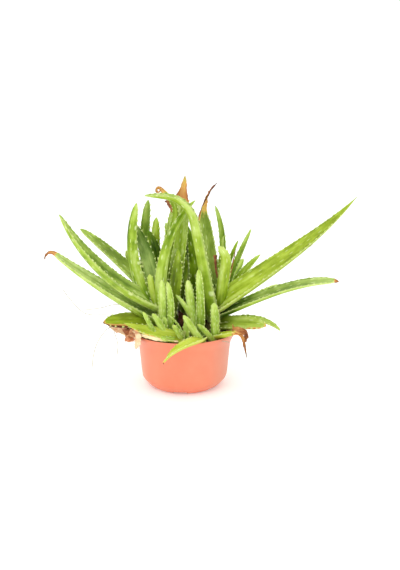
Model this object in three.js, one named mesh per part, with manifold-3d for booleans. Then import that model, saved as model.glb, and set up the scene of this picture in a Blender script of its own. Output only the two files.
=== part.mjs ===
// A potted aloe: a low round plastic nursery pot filled with soil, and a crowded clump of aloe plants.
// Five plants stand in the pot, each a short stem with fleshy, toothed, channelled leaves, and small
// offshoots, each a stub with a few short leaves, crowd round them.
// Millimetres, +Z up, +X to the right, -Y to the front. The origin is the middle of the pot's base.
import * as THREE from 'three';
import { mergeVertices } from 'three/addons/utils/BufferGeometryUtils.js';
import Module from 'manifold-3d';

const wasm = await Module();
wasm.setup();

// ---------------------------------------------------------------- driving dimensions
const RIM_RADIUS = 60; // outside of the lip
const POT_HEIGHT = 66;
const POT_WALL = 1.6;
const FOOT_RADIUS = 38; // outside of the foot ring
const FOOT_INNER_RADIUS = 33;
const FOOT_HEIGHT = 2;
const SHOULDER_HEIGHT = 52; // where the straight wall turns out into the flared lip
const HEEL_HEIGHT = 14; // where the rounded bottom edge meets the straight wall
const HEEL_RADIUS = 50.5;
const SHOULDER_RADIUS = 54;
const POT_SIDES = 36;
const NOTCH_COUNT = 6; // openings in the foot ring that let water run out
const NOTCH_WIDTH = 16;
const DRAIN_COUNT = 4; // holes in the pot's floor
const DRAIN_RADIUS = 4;
const DRAIN_CIRCLE = 20;

const SOIL_LEVEL = 58; // at the pot's wall
const SOIL_MOUND = 3; // how much higher the middle is
const SOIL_SIDES = 28;

const CLEARANCE = 0.3; // gap between pieces that touch
const SMOOTHING = 0.1; // slivers that a cut leaves are dissolved where they are finer than this
const TOOTH_PITCH = 18; // along a leaf's margin
const TOOTH_LENGTH = 2.2;
const TOOTH_BASE = 3;
const MARGIN_THICKNESS = 1;
const DRY_THICKNESS = 1.4;
const NECK = 1.02; // how wide a leaf is at its root, as a share of its width

const radians = THREE.MathUtils.degToRad;
const smoothstep = THREE.MathUtils.smoothstep;
const lerp = THREE.MathUtils.lerp;

// ---------------------------------------------------------------- the plants
// Each plant has a stem at [x, y], and leaves that spring from it "up" above the soil. A leaf is
// attached on one side of the stem: side is the compass direction from the stem's axis, anticlockwise
// from +X, and out the distance. az is the compass direction in which it sets off, and rise its slope.
// bend is the change in slope from root to tip: it's spread evenly where late is 1, kept for the end
// where late is more, and made between two shares of the length where there is a knee. sweep is the
// change in az. roll turns the blade about its own line.
// channel is how deep the hollow of the upper face is, slim how wide the leaf still is at its end, and
// blunt how round its tip is.
// dry is the share of the length at which a withered end begins, and curl its own change in slope.
const PLANTS = [
  { name: 'left', at: [-24, -6], radius: 8.5, top: 36, leaves: [
    { name: 'inner_right', up: 24, side: 5, out: 7, az: 30, rise: 73, long: 78, wide: 15, bend: 16, roll: 50,
      blunt: 0.8 },
    { name: 'thin_withered', up: 33, side: 180, out: 4, az: 30, rise: 79, long: 162, wide: 9, bend: 55,
      knee: [0.64, 0.83], sweep: -34, roll: 50, slim: 0.9, blunt: 2, dry: 0.9, curl: 170 },
    { name: 'tall_withered', up: 34, side: 70, out: 11, az: 42, rise: 78, long: 152, wide: 28, bend: 2,
      roll: 40, blunt: 0.8, dry: 0.84 },
    { name: 'heart', up: 34, side: 215, out: 9, az: 212, rise: 76, long: 42, wide: 9, bend: 2, roll: 70,
      blunt: 1.6 },
    { name: 'leaning', up: 16, side: 275, out: 8, az: 0, rise: 95, long: 154, wide: 17, bend: -60, late: 1.7,
      sweep: 40, roll: -75, slim: 0.6, blunt: 1.2, neck: 0.8 },
    { name: 'pale', up: 32, side: 175, out: 9, az: 145, rise: 90, long: 106, wide: 17, bend: -36, roll: -55,
      blunt: 0.8 },
    { name: 'upright', up: 30, side: 205, out: 9, az: 174, rise: 40, long: 133, wide: 17, bend: 68.5,
      late: 0.7, roll: 60, slim: 0.75, blunt: 2.4 },
    { name: 'back', up: 35, side: 155, out: 4, az: 162, rise: 46, long: 132, wide: 18, bend: -10, roll: -24,
      slim: 0.8, blunt: 1.8 },
    { name: 'curved', up: 32, side: 205, out: 3, az: 198, rise: 23, long: 166, wide: 22, bend: 44, sweep: 12,
      roll: -30, channel: 0.6, slim: 0.8, blunt: 1.4 },
    { name: 'low', up: 16, side: 190, out: 3, az: 186, rise: 28, long: 160, wide: 27, bend: 15, roll: -20,
      slim: 0.5, blunt: 1.3, dry: 0.91, curl: -130 },
    { name: 'lowest', up: 9, side: 204, out: 3, az: 204, rise: 18, long: 72, wide: 24, bend: -12, roll: -36,
      blunt: 1, dry: 0.86 },
  ] },
  { name: 'right', at: [34, -2], radius: 8.5, top: 36, leaves: [
    { name: 'heart', up: 20, side: 200, out: 8, az: 180, rise: 84, long: 62, wide: 16, bend: 4, roll: 80 },
    { name: 'arching', up: 17.5, side: 240, out: 6, az: 186, rise: 79, long: 186, wide: 22, bend: -72.5,
      knee: [0.595, 0.915], sweep: 12, roll: -14, channel: 0.75, slim: 0.65, blunt: 2.2 },
    { name: 'brown_topped', up: 33, side: 80, out: 9, az: 140, rise: 82, long: 152, wide: 20, bend: -4,
      roll: -50, dry: 0.7, curl: 70 },
    { name: 'hooked', up: 30, side: 320, out: 9, az: 340, rise: 82, long: 80, wide: 15, bend: 58,
      knee: [0.65, 1], roll: -60, slim: 0.9, blunt: 1.6 },
    { name: 'dry_thread', up: 29, side: 30, out: 9, az: 25, rise: 68, long: 74, wide: 4, bend: 12,
      dry: 0.1 },
    { name: 'long', up: 33, side: 350, out: 4, az: 350, rise: 36, long: 202, wide: 26, bend: 15, late: 2.5,
      roll: 40, blunt: 0.1 },
    { name: 'low', up: 22, side: 335, out: 4, az: 344, rise: 26, long: 148, wide: 16, bend: -26, late: 3,
      roll: 22, slim: 0.95, blunt: 4, dry: 0.97 },
    { name: 'drooping', up: 13, side: 0, out: 4, az: 354, rise: 14, long: 78, wide: 11, bend: -58, late: 2,
      roll: 20, slim: 0.85, blunt: 2.6 },
    { name: 'short', up: 11, side: 330, out: 4, az: 334, rise: 11, long: 62, wide: 19, bend: -9, roll: 34,
      blunt: 1.4 },
  ] },
  { name: 'middle', at: [5, 15], radius: 7.5, top: 29, leaves: [
    { name: 'inner_left', up: 18, side: 210, out: 5, az: 210, rise: 84, long: 114, wide: 18, bend: 12,
      roll: 60 },
    { name: 'inner_right', up: 16, side: 350, out: 7, az: 150, rise: 98, long: 113, wide: 19, bend: -26,
      roll: -50 },
    { name: 'front', up: 4, side: 300, out: 5, az: 320, rise: 66, long: 62, wide: 16, bend: 10, roll: 60 },
    { name: 'back_left', up: 22, side: 112, out: 5, az: 112, rise: 62, long: 122, wide: 20, bend: -14,
      blunt: 0.8 },
    { name: 'back_right', up: 18, side: 70, out: 5, az: 70, rise: 54, long: 116, wide: 20, bend: -16,
      blunt: 0.8 },
    { name: 'back_low', up: 15, side: 92, out: 5, az: 92, rise: 40, long: 96, wide: 19, bend: -12,
      blunt: 0.8 },
  ] },
  { name: 'back_left', at: [-33, 24], radius: 6.5, top: 27, leaves: [
    { name: 'broad', up: 23, side: 300, out: 7, az: 185, rise: 96, long: 100, wide: 18, bend: -26, roll: -90,
      blunt: 1 },
    { name: 'tall', up: 25, side: 150, out: 6, az: 130, rise: 67, long: 134, wide: 12.5, bend: 41, roll: -30,
      slim: 0.9, blunt: 2.8 },
    { name: 'middle', up: 24, side: 50, out: 6, az: 60, rise: 103, long: 113, wide: 12.5, bend: -20,
      roll: 20, slim: 0.9, blunt: 2.8 },
    { name: 'small', up: 22, side: 220, out: 6, az: 190, rise: 70, long: 52, wide: 10, bend: 20, roll: 80,
      blunt: 1.2 },
    { name: 'side', up: 20, side: 180, out: 5, az: 178, rise: 62, long: 83, wide: 12, bend: 12, roll: -50,
      blunt: 1.8 },
    { name: 'back', up: 16, side: 114, out: 4, az: 116, rise: 44, long: 102, wide: 18, bend: -12,
      blunt: 0.8 },
    { name: 'low', up: 12, side: 152, out: 4, az: 152, rise: 28, long: 82, wide: 17, bend: -8, blunt: 0.8 },
  ] },
  { name: 'back_right', at: [37, 24], radius: 6.5, top: 28, leaves: [
    { name: 'tall', up: 25, side: 110, out: 5, az: 10, rise: 74, long: 127, wide: 9, bend: 38, late: 1.5,
      roll: 60, slim: 0.8, blunt: 2 },
    { name: 'inner', up: 25, side: 250, out: 5, az: 355, rise: 80, long: 90, wide: 6.5, bend: 6, roll: 40,
      blunt: 1.5 },
    { name: 'near', up: 23, side: 330, out: 7, az: 8, rise: 86, long: 89, wide: 6.5, bend: -20, roll: 40,
      blunt: 1.5 },
    { name: 'side', up: 22, side: 40, out: 7, az: 20, rise: 70, long: 107, wide: 9, bend: -6, roll: 30,
      slim: 0.9, blunt: 1 },
    { name: 'outer', up: 20, side: 350, out: 8, az: 4, rise: 70, long: 86, wide: 11, bend: -26, roll: 40,
      blunt: 0.9 },
    { name: 'low', up: 16, side: 4, out: 4, az: 4, rise: 26, long: 82, wide: 11, bend: 3, roll: 24,
      slim: 0.8, blunt: 2 },
    { name: 'back', up: 14, side: 64, out: 4, az: 62, rise: 42, long: 102, wide: 18, bend: -12,
      blunt: 0.8 },
  ] },
];

// The offshoots: each is one piece, a stub with short leaves that start at the soil. Where one has an
// old leaf that has sunk over the pot's edge, that leaf is a piece of its own.
const OFFSHOOTS = [
  { name: 'front_left', at: [-24, -37], radius: 4, leaves: [
    { side: 180, out: 5, az: 198, rise: 63, long: 42, wide: 7, bend: 4, roll: 40 },
    { side: 20, out: 7, az: 195, rise: 62, long: 40, wide: 9.5, bend: 0, roll: 50 },
    { az: 80, rise: 74, long: 30, wide: 9, bend: 2, roll: 10 },
  ] },
  { name: 'left', at: [-24, -27], radius: 4.6, leaves: [
    { az: 200, rise: 89, long: 70, wide: 10.5, bend: 0, roll: 70 },
    { side: 0, out: 4, az: 0, rise: 72, long: 69, wide: 9, bend: 34, roll: 70 },
    { az: 100, rise: 70, long: 40, wide: 9.5, bend: 8, roll: -30 },
  ] },
  { name: 'front', at: [0, -42], radius: 4, leaves: [
    { side: 190, out: 2, az: 200, rise: 68, long: 26, wide: 7.5, bend: -6, roll: 50 },
    { side: 60, out: 4, az: 70, rise: 84, long: 27, wide: 8.5, bend: 0, roll: 0 },
    { side: 120, out: 3, az: 168, rise: 88, long: 38, wide: 6.5, bend: -52, roll: 20 },
    { az: 206, rise: 21, long: 31, wide: 10, bend: -4, roll: -20 },
  ], old: { up: 5, az: 177, rise: 8, long: 71, wide: 17, bend: 17, roll: -32 } },
  { name: 'middle', at: [14, -24], radius: 5.5, leaves: [
    { side: 200, out: 1, az: 160, rise: 80, long: 69, wide: 11.5, bend: 4, roll: 105 },
    { side: 0, out: 5, az: 0, rise: 86, long: 81, wide: 11, bend: 12, roll: 60 },
    { side: 90, out: 2, az: 178, rise: 80, long: 57, wide: 7.5, bend: -30, roll: 60 },
    { az: 60, rise: 80, long: 46, wide: 10, bend: 6, roll: 60 },
  ] },
  { name: 'front_right', at: [20, -44], radius: 4, leaves: [
    { az: 186, rise: 54, long: 41, wide: 9.5, bend: 10, roll: 60 },
  ], old: { up: 7, az: 264, rise: 15, long: 68, wide: 13, bend: -78, late: 1.5, sweep: -104, slim: 0.75,
    blunt: 2.4, neck: 0.6, dry: 0.95 } },
  { name: 'right', at: [34, -33], radius: 4.4, leaves: [
    { az: 220, rise: 92, long: 46, wide: 10.5, bend: -8, roll: 40 },
    { side: 240, out: 5, az: 200, rise: 57, long: 30, wide: 8.5, bend: -8, roll: 40 },
  ], old: { up: 6, az: 341, rise: 16, long: 57, wide: 12, bend: -92, knee: [0.37, 0.68], slim: 0.6,
    dry: 0.45 } },
  { name: 'back_left', at: [-9, 42], radius: 4.4, leaves: [
    { az: 120, rise: 56, long: 54, wide: 12, bend: 8 },
    { az: 50, rise: 70, long: 50, wide: 12, bend: 4 },
    { az: 200, rise: 74, long: 46, wide: 12, bend: 4, roll: 60 },
  ] },
  { name: 'back_right', at: [18, 41], radius: 4.4, leaves: [
    { az: 60, rise: 62, long: 54, wide: 12, bend: 6 },
    { az: 140, rise: 74, long: 50, wide: 12, bend: 4 },
    { az: 0, rise: 68, long: 46, wide: 12, bend: 8, roll: 60 },
  ] },
];

// ---------------------------------------------------------------- solids
// A closed geometry as a manifold-3d solid, facing out.
function solidOf(geometry) {
  const bare = geometry.clone();
  for (const attribute of Object.keys(bare.attributes)) {
    if (attribute !== 'position') bare.deleteAttribute(attribute);
  }
  const merged = mergeVertices(bare, 1e-4);
  return new wasm.Manifold(new wasm.Mesh({
    numProp: 3,
    vertProperties: merged.attributes.position.array,
    triVerts: new Uint32Array(merged.index.array),
  }));
}

// A manifold-3d solid as a geometry.
function geometryOf(solid) {
  const mesh = solid.getMesh();
  const geometry = new THREE.BufferGeometry();
  geometry.setAttribute('position', new THREE.BufferAttribute(mesh.vertProperties, 3));
  geometry.setIndex(new THREE.BufferAttribute(mesh.triVerts, 1));
  geometry.computeVertexNormals();
  return geometry;
}

// The largest body of a solid, without the scraps that a cut can leave.
function largestBody(solid) {
  return solid.decompose().reduce((best, body) => (body.volume() > best.volume() ? body : best));
}

// ---------------------------------------------------------------- the pot
function potProfile() {
  const outer = [
    [FOOT_RADIUS - 1, 0], [FOOT_RADIUS + 2.5, 1.4], [FOOT_RADIUS + 6.5, 5], [HEEL_RADIUS - 1.5, 10],
    [HEEL_RADIUS, HEEL_HEIGHT], [SHOULDER_RADIUS, SHOULDER_HEIGHT],
    [SHOULDER_RADIUS + 1.4, SHOULDER_HEIGHT + 4.5], [RIM_RADIUS - 1, POT_HEIGHT - 6],
    [RIM_RADIUS, POT_HEIGHT - 3.5], [RIM_RADIUS - 0.3, POT_HEIGHT],
  ];
  const inner = [
    [RIM_RADIUS - POT_WALL, POT_HEIGHT],
    [SHOULDER_RADIUS - POT_WALL + 0.6, SHOULDER_HEIGHT + 4.5],
    [SHOULDER_RADIUS - POT_WALL, SHOULDER_HEIGHT],
    [HEEL_RADIUS - POT_WALL, HEEL_HEIGHT],
    [FOOT_RADIUS + 1, FOOT_HEIGHT + POT_WALL],
    [0, FOOT_HEIGHT + POT_WALL],
  ];
  const under = [
    [0, FOOT_HEIGHT],
    [FOOT_INNER_RADIUS + 0.6, FOOT_HEIGHT],
    [FOOT_INNER_RADIUS + 1.2, 0],
  ];
  return [...outer, ...inner, ...under].map(([radius, height]) => new THREE.Vector2(radius, height));
}

function pot() {
  const profile = potProfile();
  profile.push(profile[0].clone());
  let solid = solidOf(new THREE.LatheGeometry(profile, POT_SIDES).rotateX(Math.PI / 2));
  for (let i = 0; i < NOTCH_COUNT; i += 1) {
    const notch = new THREE.BoxGeometry(12, NOTCH_WIDTH, FOOT_HEIGHT * 2)
      .translate(FOOT_RADIUS, 0, -0.1)
      .rotateZ((i * 2 * Math.PI) / NOTCH_COUNT - radians(98));
    solid = solid.subtract(solidOf(notch));
  }
  for (let i = 0; i < DRAIN_COUNT; i += 1) {
    const turn = ((i + 0.5) * 2 * Math.PI) / DRAIN_COUNT;
    const drain = new THREE.CylinderGeometry(DRAIN_RADIUS, DRAIN_RADIUS, 3 * FOOT_HEIGHT, 12)
      .rotateX(Math.PI / 2)
      .translate(DRAIN_CIRCLE * Math.cos(turn), DRAIN_CIRCLE * Math.sin(turn), FOOT_HEIGHT);
    solid = solid.subtract(solidOf(drain));
  }
  return solid;
}

// ---------------------------------------------------------------- the soil
function soilHeight(x, y) {
  const out = Math.min(1, Math.hypot(x, y) / SHOULDER_RADIUS);
  const lumps = Math.sin(x * 0.31 + 1.3) * Math.cos(y * 0.27) + Math.sin(x * 0.13 - y * 0.19);
  return SOIL_LEVEL + SOIL_MOUND * (1 - out * out) + 0.5 * lumps * (1 - out);
}

function soil() {
  const gap = POT_WALL + CLEARANCE;
  const floor = FOOT_HEIGHT + POT_WALL + CLEARANCE;
  const wallRadius = (height) => lerp(
    HEEL_RADIUS, SHOULDER_RADIUS, (height - HEEL_HEIGHT) / (SHOULDER_HEIGHT - HEEL_HEIGHT)) - gap;
  const topRadius = SHOULDER_RADIUS - gap + 0.8;
  const profile = [
    [0, floor],
    [FOOT_RADIUS + 0.5, floor],
    [wallRadius(HEEL_HEIGHT), HEEL_HEIGHT + CLEARANCE],
    [wallRadius(SHOULDER_HEIGHT), SHOULDER_HEIGHT],
    [topRadius, SOIL_LEVEL - 1],
    ...[0.9, 0.5, 0].map((share) => [topRadius * share, SOIL_LEVEL]),
  ].map(([radius, height]) => new THREE.Vector2(radius, height));
  const geometry = new THREE.LatheGeometry(profile, SOIL_SIDES).rotateX(Math.PI / 2);
  const position = geometry.attributes.position;
  for (let i = 0; i < position.count; i += 1) {
    if (Math.abs(position.getZ(i) - SOIL_LEVEL) < 0.01) {
      position.setZ(i, soilHeight(position.getX(i), position.getY(i)));
    }
  }
  return solidOf(geometry);
}

// ---------------------------------------------------------------- leaves
function slopeAt(leaf, s) {
  const dry = leaf.dry ?? 1;
  const withered = s > dry ? (s - dry) / (1 - dry) : 0;
  const bent = leaf.knee ? smoothstep(s, ...leaf.knee) : s ** (leaf.late ?? 1);
  return leaf.rise + (leaf.bend ?? 0) * bent + (leaf.curl ?? 0) * withered ** 0.8;
}

// The leaf's middle line: at each of steps + 1 even places, and at one more close to the tip, the
// point, the way it runs, the direction that its upper face looks in, and the direction across.
function leafLine(leaf, root, steps) {
  const fine = 8;
  const nearTip = steps * fine - 2;
  const at = root.clone();
  const places = [];
  for (let i = 0; i <= steps * fine; i += 1) {
    const s = i / (steps * fine);
    const rise = radians(slopeAt(leaf, s));
    const az = radians(leaf.az + (leaf.sweep ?? 0) * s);
    const along = new THREE.Vector3(
      Math.cos(rise) * Math.cos(az), Math.cos(rise) * Math.sin(az), Math.sin(rise));
    if (i % fine === 0 || i === nearTip) {
      const face = new THREE.Vector3(
        -Math.sin(rise) * Math.cos(az), -Math.sin(rise) * Math.sin(az), Math.cos(rise));
      face.applyAxisAngle(along, radians(leaf.roll ?? 0));
      places.push({ s, at: at.clone(), along, face, across: along.clone().cross(face) });
    }
    at.addScaledVector(along, leaf.long / (steps * fine));
  }
  return places;
}

// Half the blade's width, its thickness and the depth of its channel, at the share s of its length.
function leafSection(leaf, s) {
  const dry = leaf.dry ?? 1;
  const withered = smoothstep(s, dry - 0.06, dry + 0.08);
  const blunt = leaf.blunt ?? 0.35;
  const taper = lerp(1, leaf.slim ?? 1, s) * (1 - s ** (2 + 2 * blunt)) ** Math.max(0.5, 1 - 0.45 * blunt);
  const neck = lerp(leaf.neck ?? NECK, 1, smoothstep(s, 0, 0.35));
  const half = (leaf.wide / 2) * taper * neck * (1 - 0.4 * withered);
  const fleshy = 0.42 * half + 0.16 * leaf.wide * (1 - s);
  return {
    half: Math.max(half, 0.6),
    thick: lerp(Math.max(fleshy, DRY_THICKNESS), DRY_THICKNESS, withered),
    hollow: (leaf.channel ?? 0.34) * lerp(1, 0.45, smoothstep(s, 0.5, 1)) * half,
  };
}

// A closed solid skinned over rings of points, all alike, with a cap at its root and one point at its
// tip. Each ring runs round the leaf clockwise as seen from the root. extra holds triangles of its own.
function skin(rings, tip, points, extra = []) {
  const faces = [...extra];
  const count = rings[0].behind.length;
  for (let i = 0; i + 1 < rings.length; i += 1) {
    const here = rings[i].ahead;
    const next = rings[i + 1].behind;
    for (let j = 0; j < count; j += 1) {
      const k = (j + 1) % count;
      faces.push(here[j], here[k], next[k], here[j], next[k], next[j]);
    }
  }
  const root = rings[0].behind;
  const end = rings[rings.length - 1].ahead;
  for (let j = 0; j < count; j += 1) {
    if (j > 0 && j + 1 < count) faces.push(root[0], root[j + 1], root[j]);
    faces.push(end[j], end[(j + 1) % count], tip);
  }
  const geometry = new THREE.BufferGeometry();
  geometry.setAttribute('position', new THREE.Float32BufferAttribute(points, 3));
  geometry.setIndex(faces);
  return solidOf(geometry);
}

// A maker of points that are given by a place on the leaf's line and the way across, out of and
// along the blade from there.
function pointMaker(points) {
  return (place, across, out, along = 0) => {
    const point = place.at.clone()
      .addScaledVector(place.across, across)
      .addScaledVector(place.face, out)
      .addScaledVector(place.along, along);
    points.push(point.x, point.y, point.z);
    return points.length / 3 - 1;
  };
}

const stepsOf = (leaf) => Math.max(3, Math.round(leaf.long / TOOTH_PITCH));

// The points of the underside, as shares of half the width. Slim leaves have one, wide ones three.
const bellyOf = (leaf) => (leaf.wide > 15 ? [0.62, 0, -0.62] : [0]);

// The leaf as a closed solid: a crescent section, with a pyramid tooth on each margin at each step.
function leafSolid(leaf, root) {
  const line = leafLine(leaf, root, stepsOf(leaf));
  const points = [];
  const teeth = [];
  const add = pointMaker(points);
  const rings = line.slice(0, -1).map((place, i) => {
    const { half, thick, hollow } = leafSection(leaf, place.s);
    const edge = Math.min(MARGIN_THICKNESS, thick) / 2;
    const lift = hollow + thick / 2; // puts the middle line in the middle of the flesh
    const toothed = i > 0 && i + 3 < line.length && leaf.wide > 7 && place.s < (leaf.dry ?? 1);
    const base = toothed ? Math.min(TOOTH_BASE, half) / 2 : 0;
    const channel = add(place, 0, lift - hollow);
    const belly = bellyOf(leaf).map((share) => add(
      place, share * half, lift - (hollow + thick) * (1 - share * share * 0.55)));
    const margins = (along) => [1, -1].map((side) => [1, -1].map(
      (up) => add(place, side * half, lift + up * edge, along)));
    const loop = ([right, left]) => [channel, right[0], right[1], ...belly, left[1], left[0]];
    const behind = margins(-base);
    if (!toothed) return { behind: loop(behind), ahead: loop(behind) };
    const ahead = margins(base);
    const reach = Math.min(TOOTH_LENGTH, 0.5 * half + 0.6);
    [1, -1].forEach((side, j) => {
      const tip = add(place, side * (half + reach), lift, base * 0.8);
      const [backTop, backLow, foreTop, foreLow] = [...behind[j], ...ahead[j]];
      const near = belly.at(side > 0 ? 0 : -1);
      const round = [
        [channel, foreTop, backTop], [near, backLow, foreLow], [backTop, foreTop, tip],
        [foreTop, foreLow, tip], [foreLow, backLow, tip], [backLow, backTop, tip],
      ];
      for (const [a, b, c] of round) teeth.push(...(side > 0 ? [a, c, b] : [a, b, c]));
    });
    return { behind: loop(behind), ahead: loop(ahead) };
  });
  const tip = add(line[line.length - 1], 0, leafSection(leaf, 1).thick / 2);
  return skin(rings, tip, points, teeth);
}

// A plainer, swollen form of the leaf that clears its neighbours: it holds the leaf and its teeth,
// with the clearance all round.
function leafRoom(leaf, root) {
  const line = leafLine(leaf, root, stepsOf(leaf));
  const points = [];
  const add = pointMaker(points);
  const rings = line.slice(0, -1).map((place, i) => {
    const { half, thick, hollow } = leafSection(leaf, place.s);
    const lift = hollow + thick / 2;
    const start = i === 0 ? -CLEARANCE : 0;
    const reach = leaf.wide > 7 && i > 0 ? Math.min(TOOTH_LENGTH, 0.5 * half + 0.6) : 0;
    const out = half + reach + CLEARANCE;
    const edge = Math.min(MARGIN_THICKNESS, thick) / 2 + CLEARANCE;
    const ring = [
      add(place, out, lift + edge, start),
      add(place, out, lift - edge, start),
      ...bellyOf(leaf).map((share) => add(
        place, share * (half + 1), lift - (hollow + thick) * (1 - share * share * 0.55) - CLEARANCE, start)),
      add(place, -out, lift - edge, start),
      add(place, -out, lift + edge, start),
    ];
    return { behind: ring, ahead: ring };
  });
  const tip = add(line[line.length - 1], 0, leafSection(leaf, 1).thick / 2, 2 * CLEARANCE);
  return skin(rings, tip, points);
}

// ---------------------------------------------------------------- stems
// A short tapered stub that stands in a hole in the soil.
function stemSolid(plant, grow = 0) {
  const [x, y] = plant.at;
  const base = soilHeight(x, y);
  const foot = plant.radius * 1.8;
  const top = plant.top ?? 3;
  const profile = [
    [0, base - foot - grow],
    [plant.radius * 0.7 + grow, base - foot - grow],
    [plant.radius + grow, base + 1],
    [plant.radius * 0.75 + grow, base + top + grow],
    [0, base + top + grow],
  ].map(([radius, height]) => new THREE.Vector2(radius, height));
  const sides = plant.radius > 6 ? 10 : 7;
  return solidOf(new THREE.LatheGeometry(profile, sides).rotateX(Math.PI / 2).translate(x, y, 0));
}

// ---------------------------------------------------------------- the assembly
const FINISH = {
  pot: { color: 0xe8805c, roughness: 0.45 },
  soil: { color: 0x2f241b, roughness: 0.95 },
  stem: { color: 0xb9b37a, roughness: 0.8 },
  leaf: { color: 0x8fbf45, roughness: 0.4 },
  offshoot: { color: 0xb4d67a, roughness: 0.45 },
};

const aloe = new THREE.Group();

function place(name, solid, finish) {
  const mesh = new THREE.Mesh(geometryOf(solid), new THREE.MeshStandardMaterial({ ...FINISH[finish] }));
  mesh.name = name;
  aloe.add(mesh);
}

// Plants are placed in order, inner leaves first, and each new piece is cut clear of what is there.
const taken = [];

function fit(solid) {
  const box = solid.boundingBox();
  const meets = taken.filter((other) => other.box.min.every((low, i) => low < box.max[i])
    && other.box.max.every((high, i) => high > box.min[i]));
  return largestBody(meets.reduce((left, other) => left.subtract(other.solid), solid).simplify(SMOOTHING));
}

function take(solid) {
  taken.push({ solid, box: solid.boundingBox() });
}

// The point that a leaf springs from, for a plant or an offshoot at [x, y].
function rootOf([x, y], leaf) {
  const side = radians(leaf.side ?? leaf.az);
  const out = leaf.out ?? 0;
  return new THREE.Vector3(
    x + out * Math.cos(side), y + out * Math.sin(side), soilHeight(x, y) + leaf.up);
}

for (const plant of PLANTS) {
  place(`${plant.name}_stem`, fit(stemSolid(plant)), 'stem');
  take(stemSolid(plant, CLEARANCE));
}
for (const offshoot of OFFSHOOTS) {
  const shoots = offshoot.leaves.map((leaf) => ({ up: 1, slim: 0.85, blunt: 3, ...leaf }));
  const join = (stub, solids) => solids.reduce((joined, solid) => joined.add(solid), stub);
  place(
    `offshoot_${offshoot.name}`,
    fit(join(stemSolid(offshoot), shoots.map((leaf) => leafSolid(leaf, rootOf(offshoot.at, leaf))))),
    'offshoot',
  );
  take(join(
    stemSolid(offshoot, CLEARANCE), shoots.map((leaf) => leafRoom(leaf, rootOf(offshoot.at, leaf)))));
  if (offshoot.old) {
    const root = rootOf(offshoot.at, offshoot.old);
    place(`offshoot_${offshoot.name}_old_leaf`, fit(leafSolid(offshoot.old, root)), 'leaf');
    take(leafRoom(offshoot.old, root));
  }
}
for (const plant of PLANTS) {
  for (const leaf of plant.leaves) {
    const root = rootOf(plant.at, leaf);
    place(`${plant.name}_leaf_${leaf.name}`, fit(leafSolid(leaf, root)), 'leaf');
    take(leafRoom(leaf, root));
  }
}
place('soil', fit(soil()), 'soil');
place('pot', pot(), 'pot');

export default aloe;
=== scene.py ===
"""A potted aloe: five toothed, spotted plants and their offshoots, in a round plastic nursery pot.

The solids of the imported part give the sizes. This script puts finer pieces in their place, adds the small
things (soil grains, bark chips, dry scraps, hanging fibres) and gives each piece its finish.
Sizes in the tables are millimetres; what is built is in metres. +Z is up and -Y is the front.
"""
import math
import random

import bpy
from mathutils import Matrix, Vector


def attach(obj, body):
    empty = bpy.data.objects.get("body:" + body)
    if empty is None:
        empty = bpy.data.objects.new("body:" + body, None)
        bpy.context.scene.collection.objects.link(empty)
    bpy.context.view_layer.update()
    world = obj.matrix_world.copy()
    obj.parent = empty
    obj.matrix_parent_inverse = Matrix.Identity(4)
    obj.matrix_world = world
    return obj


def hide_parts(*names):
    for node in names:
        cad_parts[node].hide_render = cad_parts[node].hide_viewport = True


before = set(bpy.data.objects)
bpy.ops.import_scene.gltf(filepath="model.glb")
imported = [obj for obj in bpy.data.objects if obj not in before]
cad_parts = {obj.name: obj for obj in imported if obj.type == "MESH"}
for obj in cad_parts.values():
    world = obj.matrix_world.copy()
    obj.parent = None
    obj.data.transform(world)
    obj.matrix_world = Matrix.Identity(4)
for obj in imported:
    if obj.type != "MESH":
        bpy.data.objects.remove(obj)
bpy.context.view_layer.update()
scene = bpy.context.scene

# ---- sizes
MM = 0.001
RIM_RADIUS = 60
POT_HEIGHT = 66
POT_WALL = 1.6
FOOT_RADIUS = 38
FOOT_INNER_RADIUS = 33
FOOT_HEIGHT = 2
SHOULDER_HEIGHT = 52
HEEL_HEIGHT = 14
HEEL_RADIUS = 50.5
SHOULDER_RADIUS = 54
CORNER_RADIUS = 9
NOTCH_COUNT = 6
NOTCH_WIDTH = 16
NOTCH_DEPTH = 12
NOTCH_RISE = 3.2  # how high the notch's cutter is, in heights of the foot
NOTCH_TURN = -98
DRAIN_COUNT = 4
DRAIN_RADIUS = 4
DRAIN_CIRCLE = 20
DRAIN_TURN = 45
AXIS_GAP = 1  # points this near the axis are drawn in to it, which closes the pot's floor
FLOOR_REACH = 4  # metres

SOIL_LEVEL = 58
SOIL_MOUND = 3
CLEARANCE = 0.3  # between the soil and the pot

DRY_THICKNESS = 1.2
RING_PITCH = 2.2
TOOTH_PITCH = 6.4
TOOTH_LENGTH = 2.1
TOOTH_WIDTH = 1.5
FIBRE_RADIUS = 0.36

LEAF_SIDES = 28
SMALL_LEAF_SIDES = 22
STUB_SIDES = 28
STUB_STEPS = 24
SOIL_SIDES = 72
SOIL_RINGS = 18
FIBRE_STEPS = 8
FIRST_SEED = 11

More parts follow.
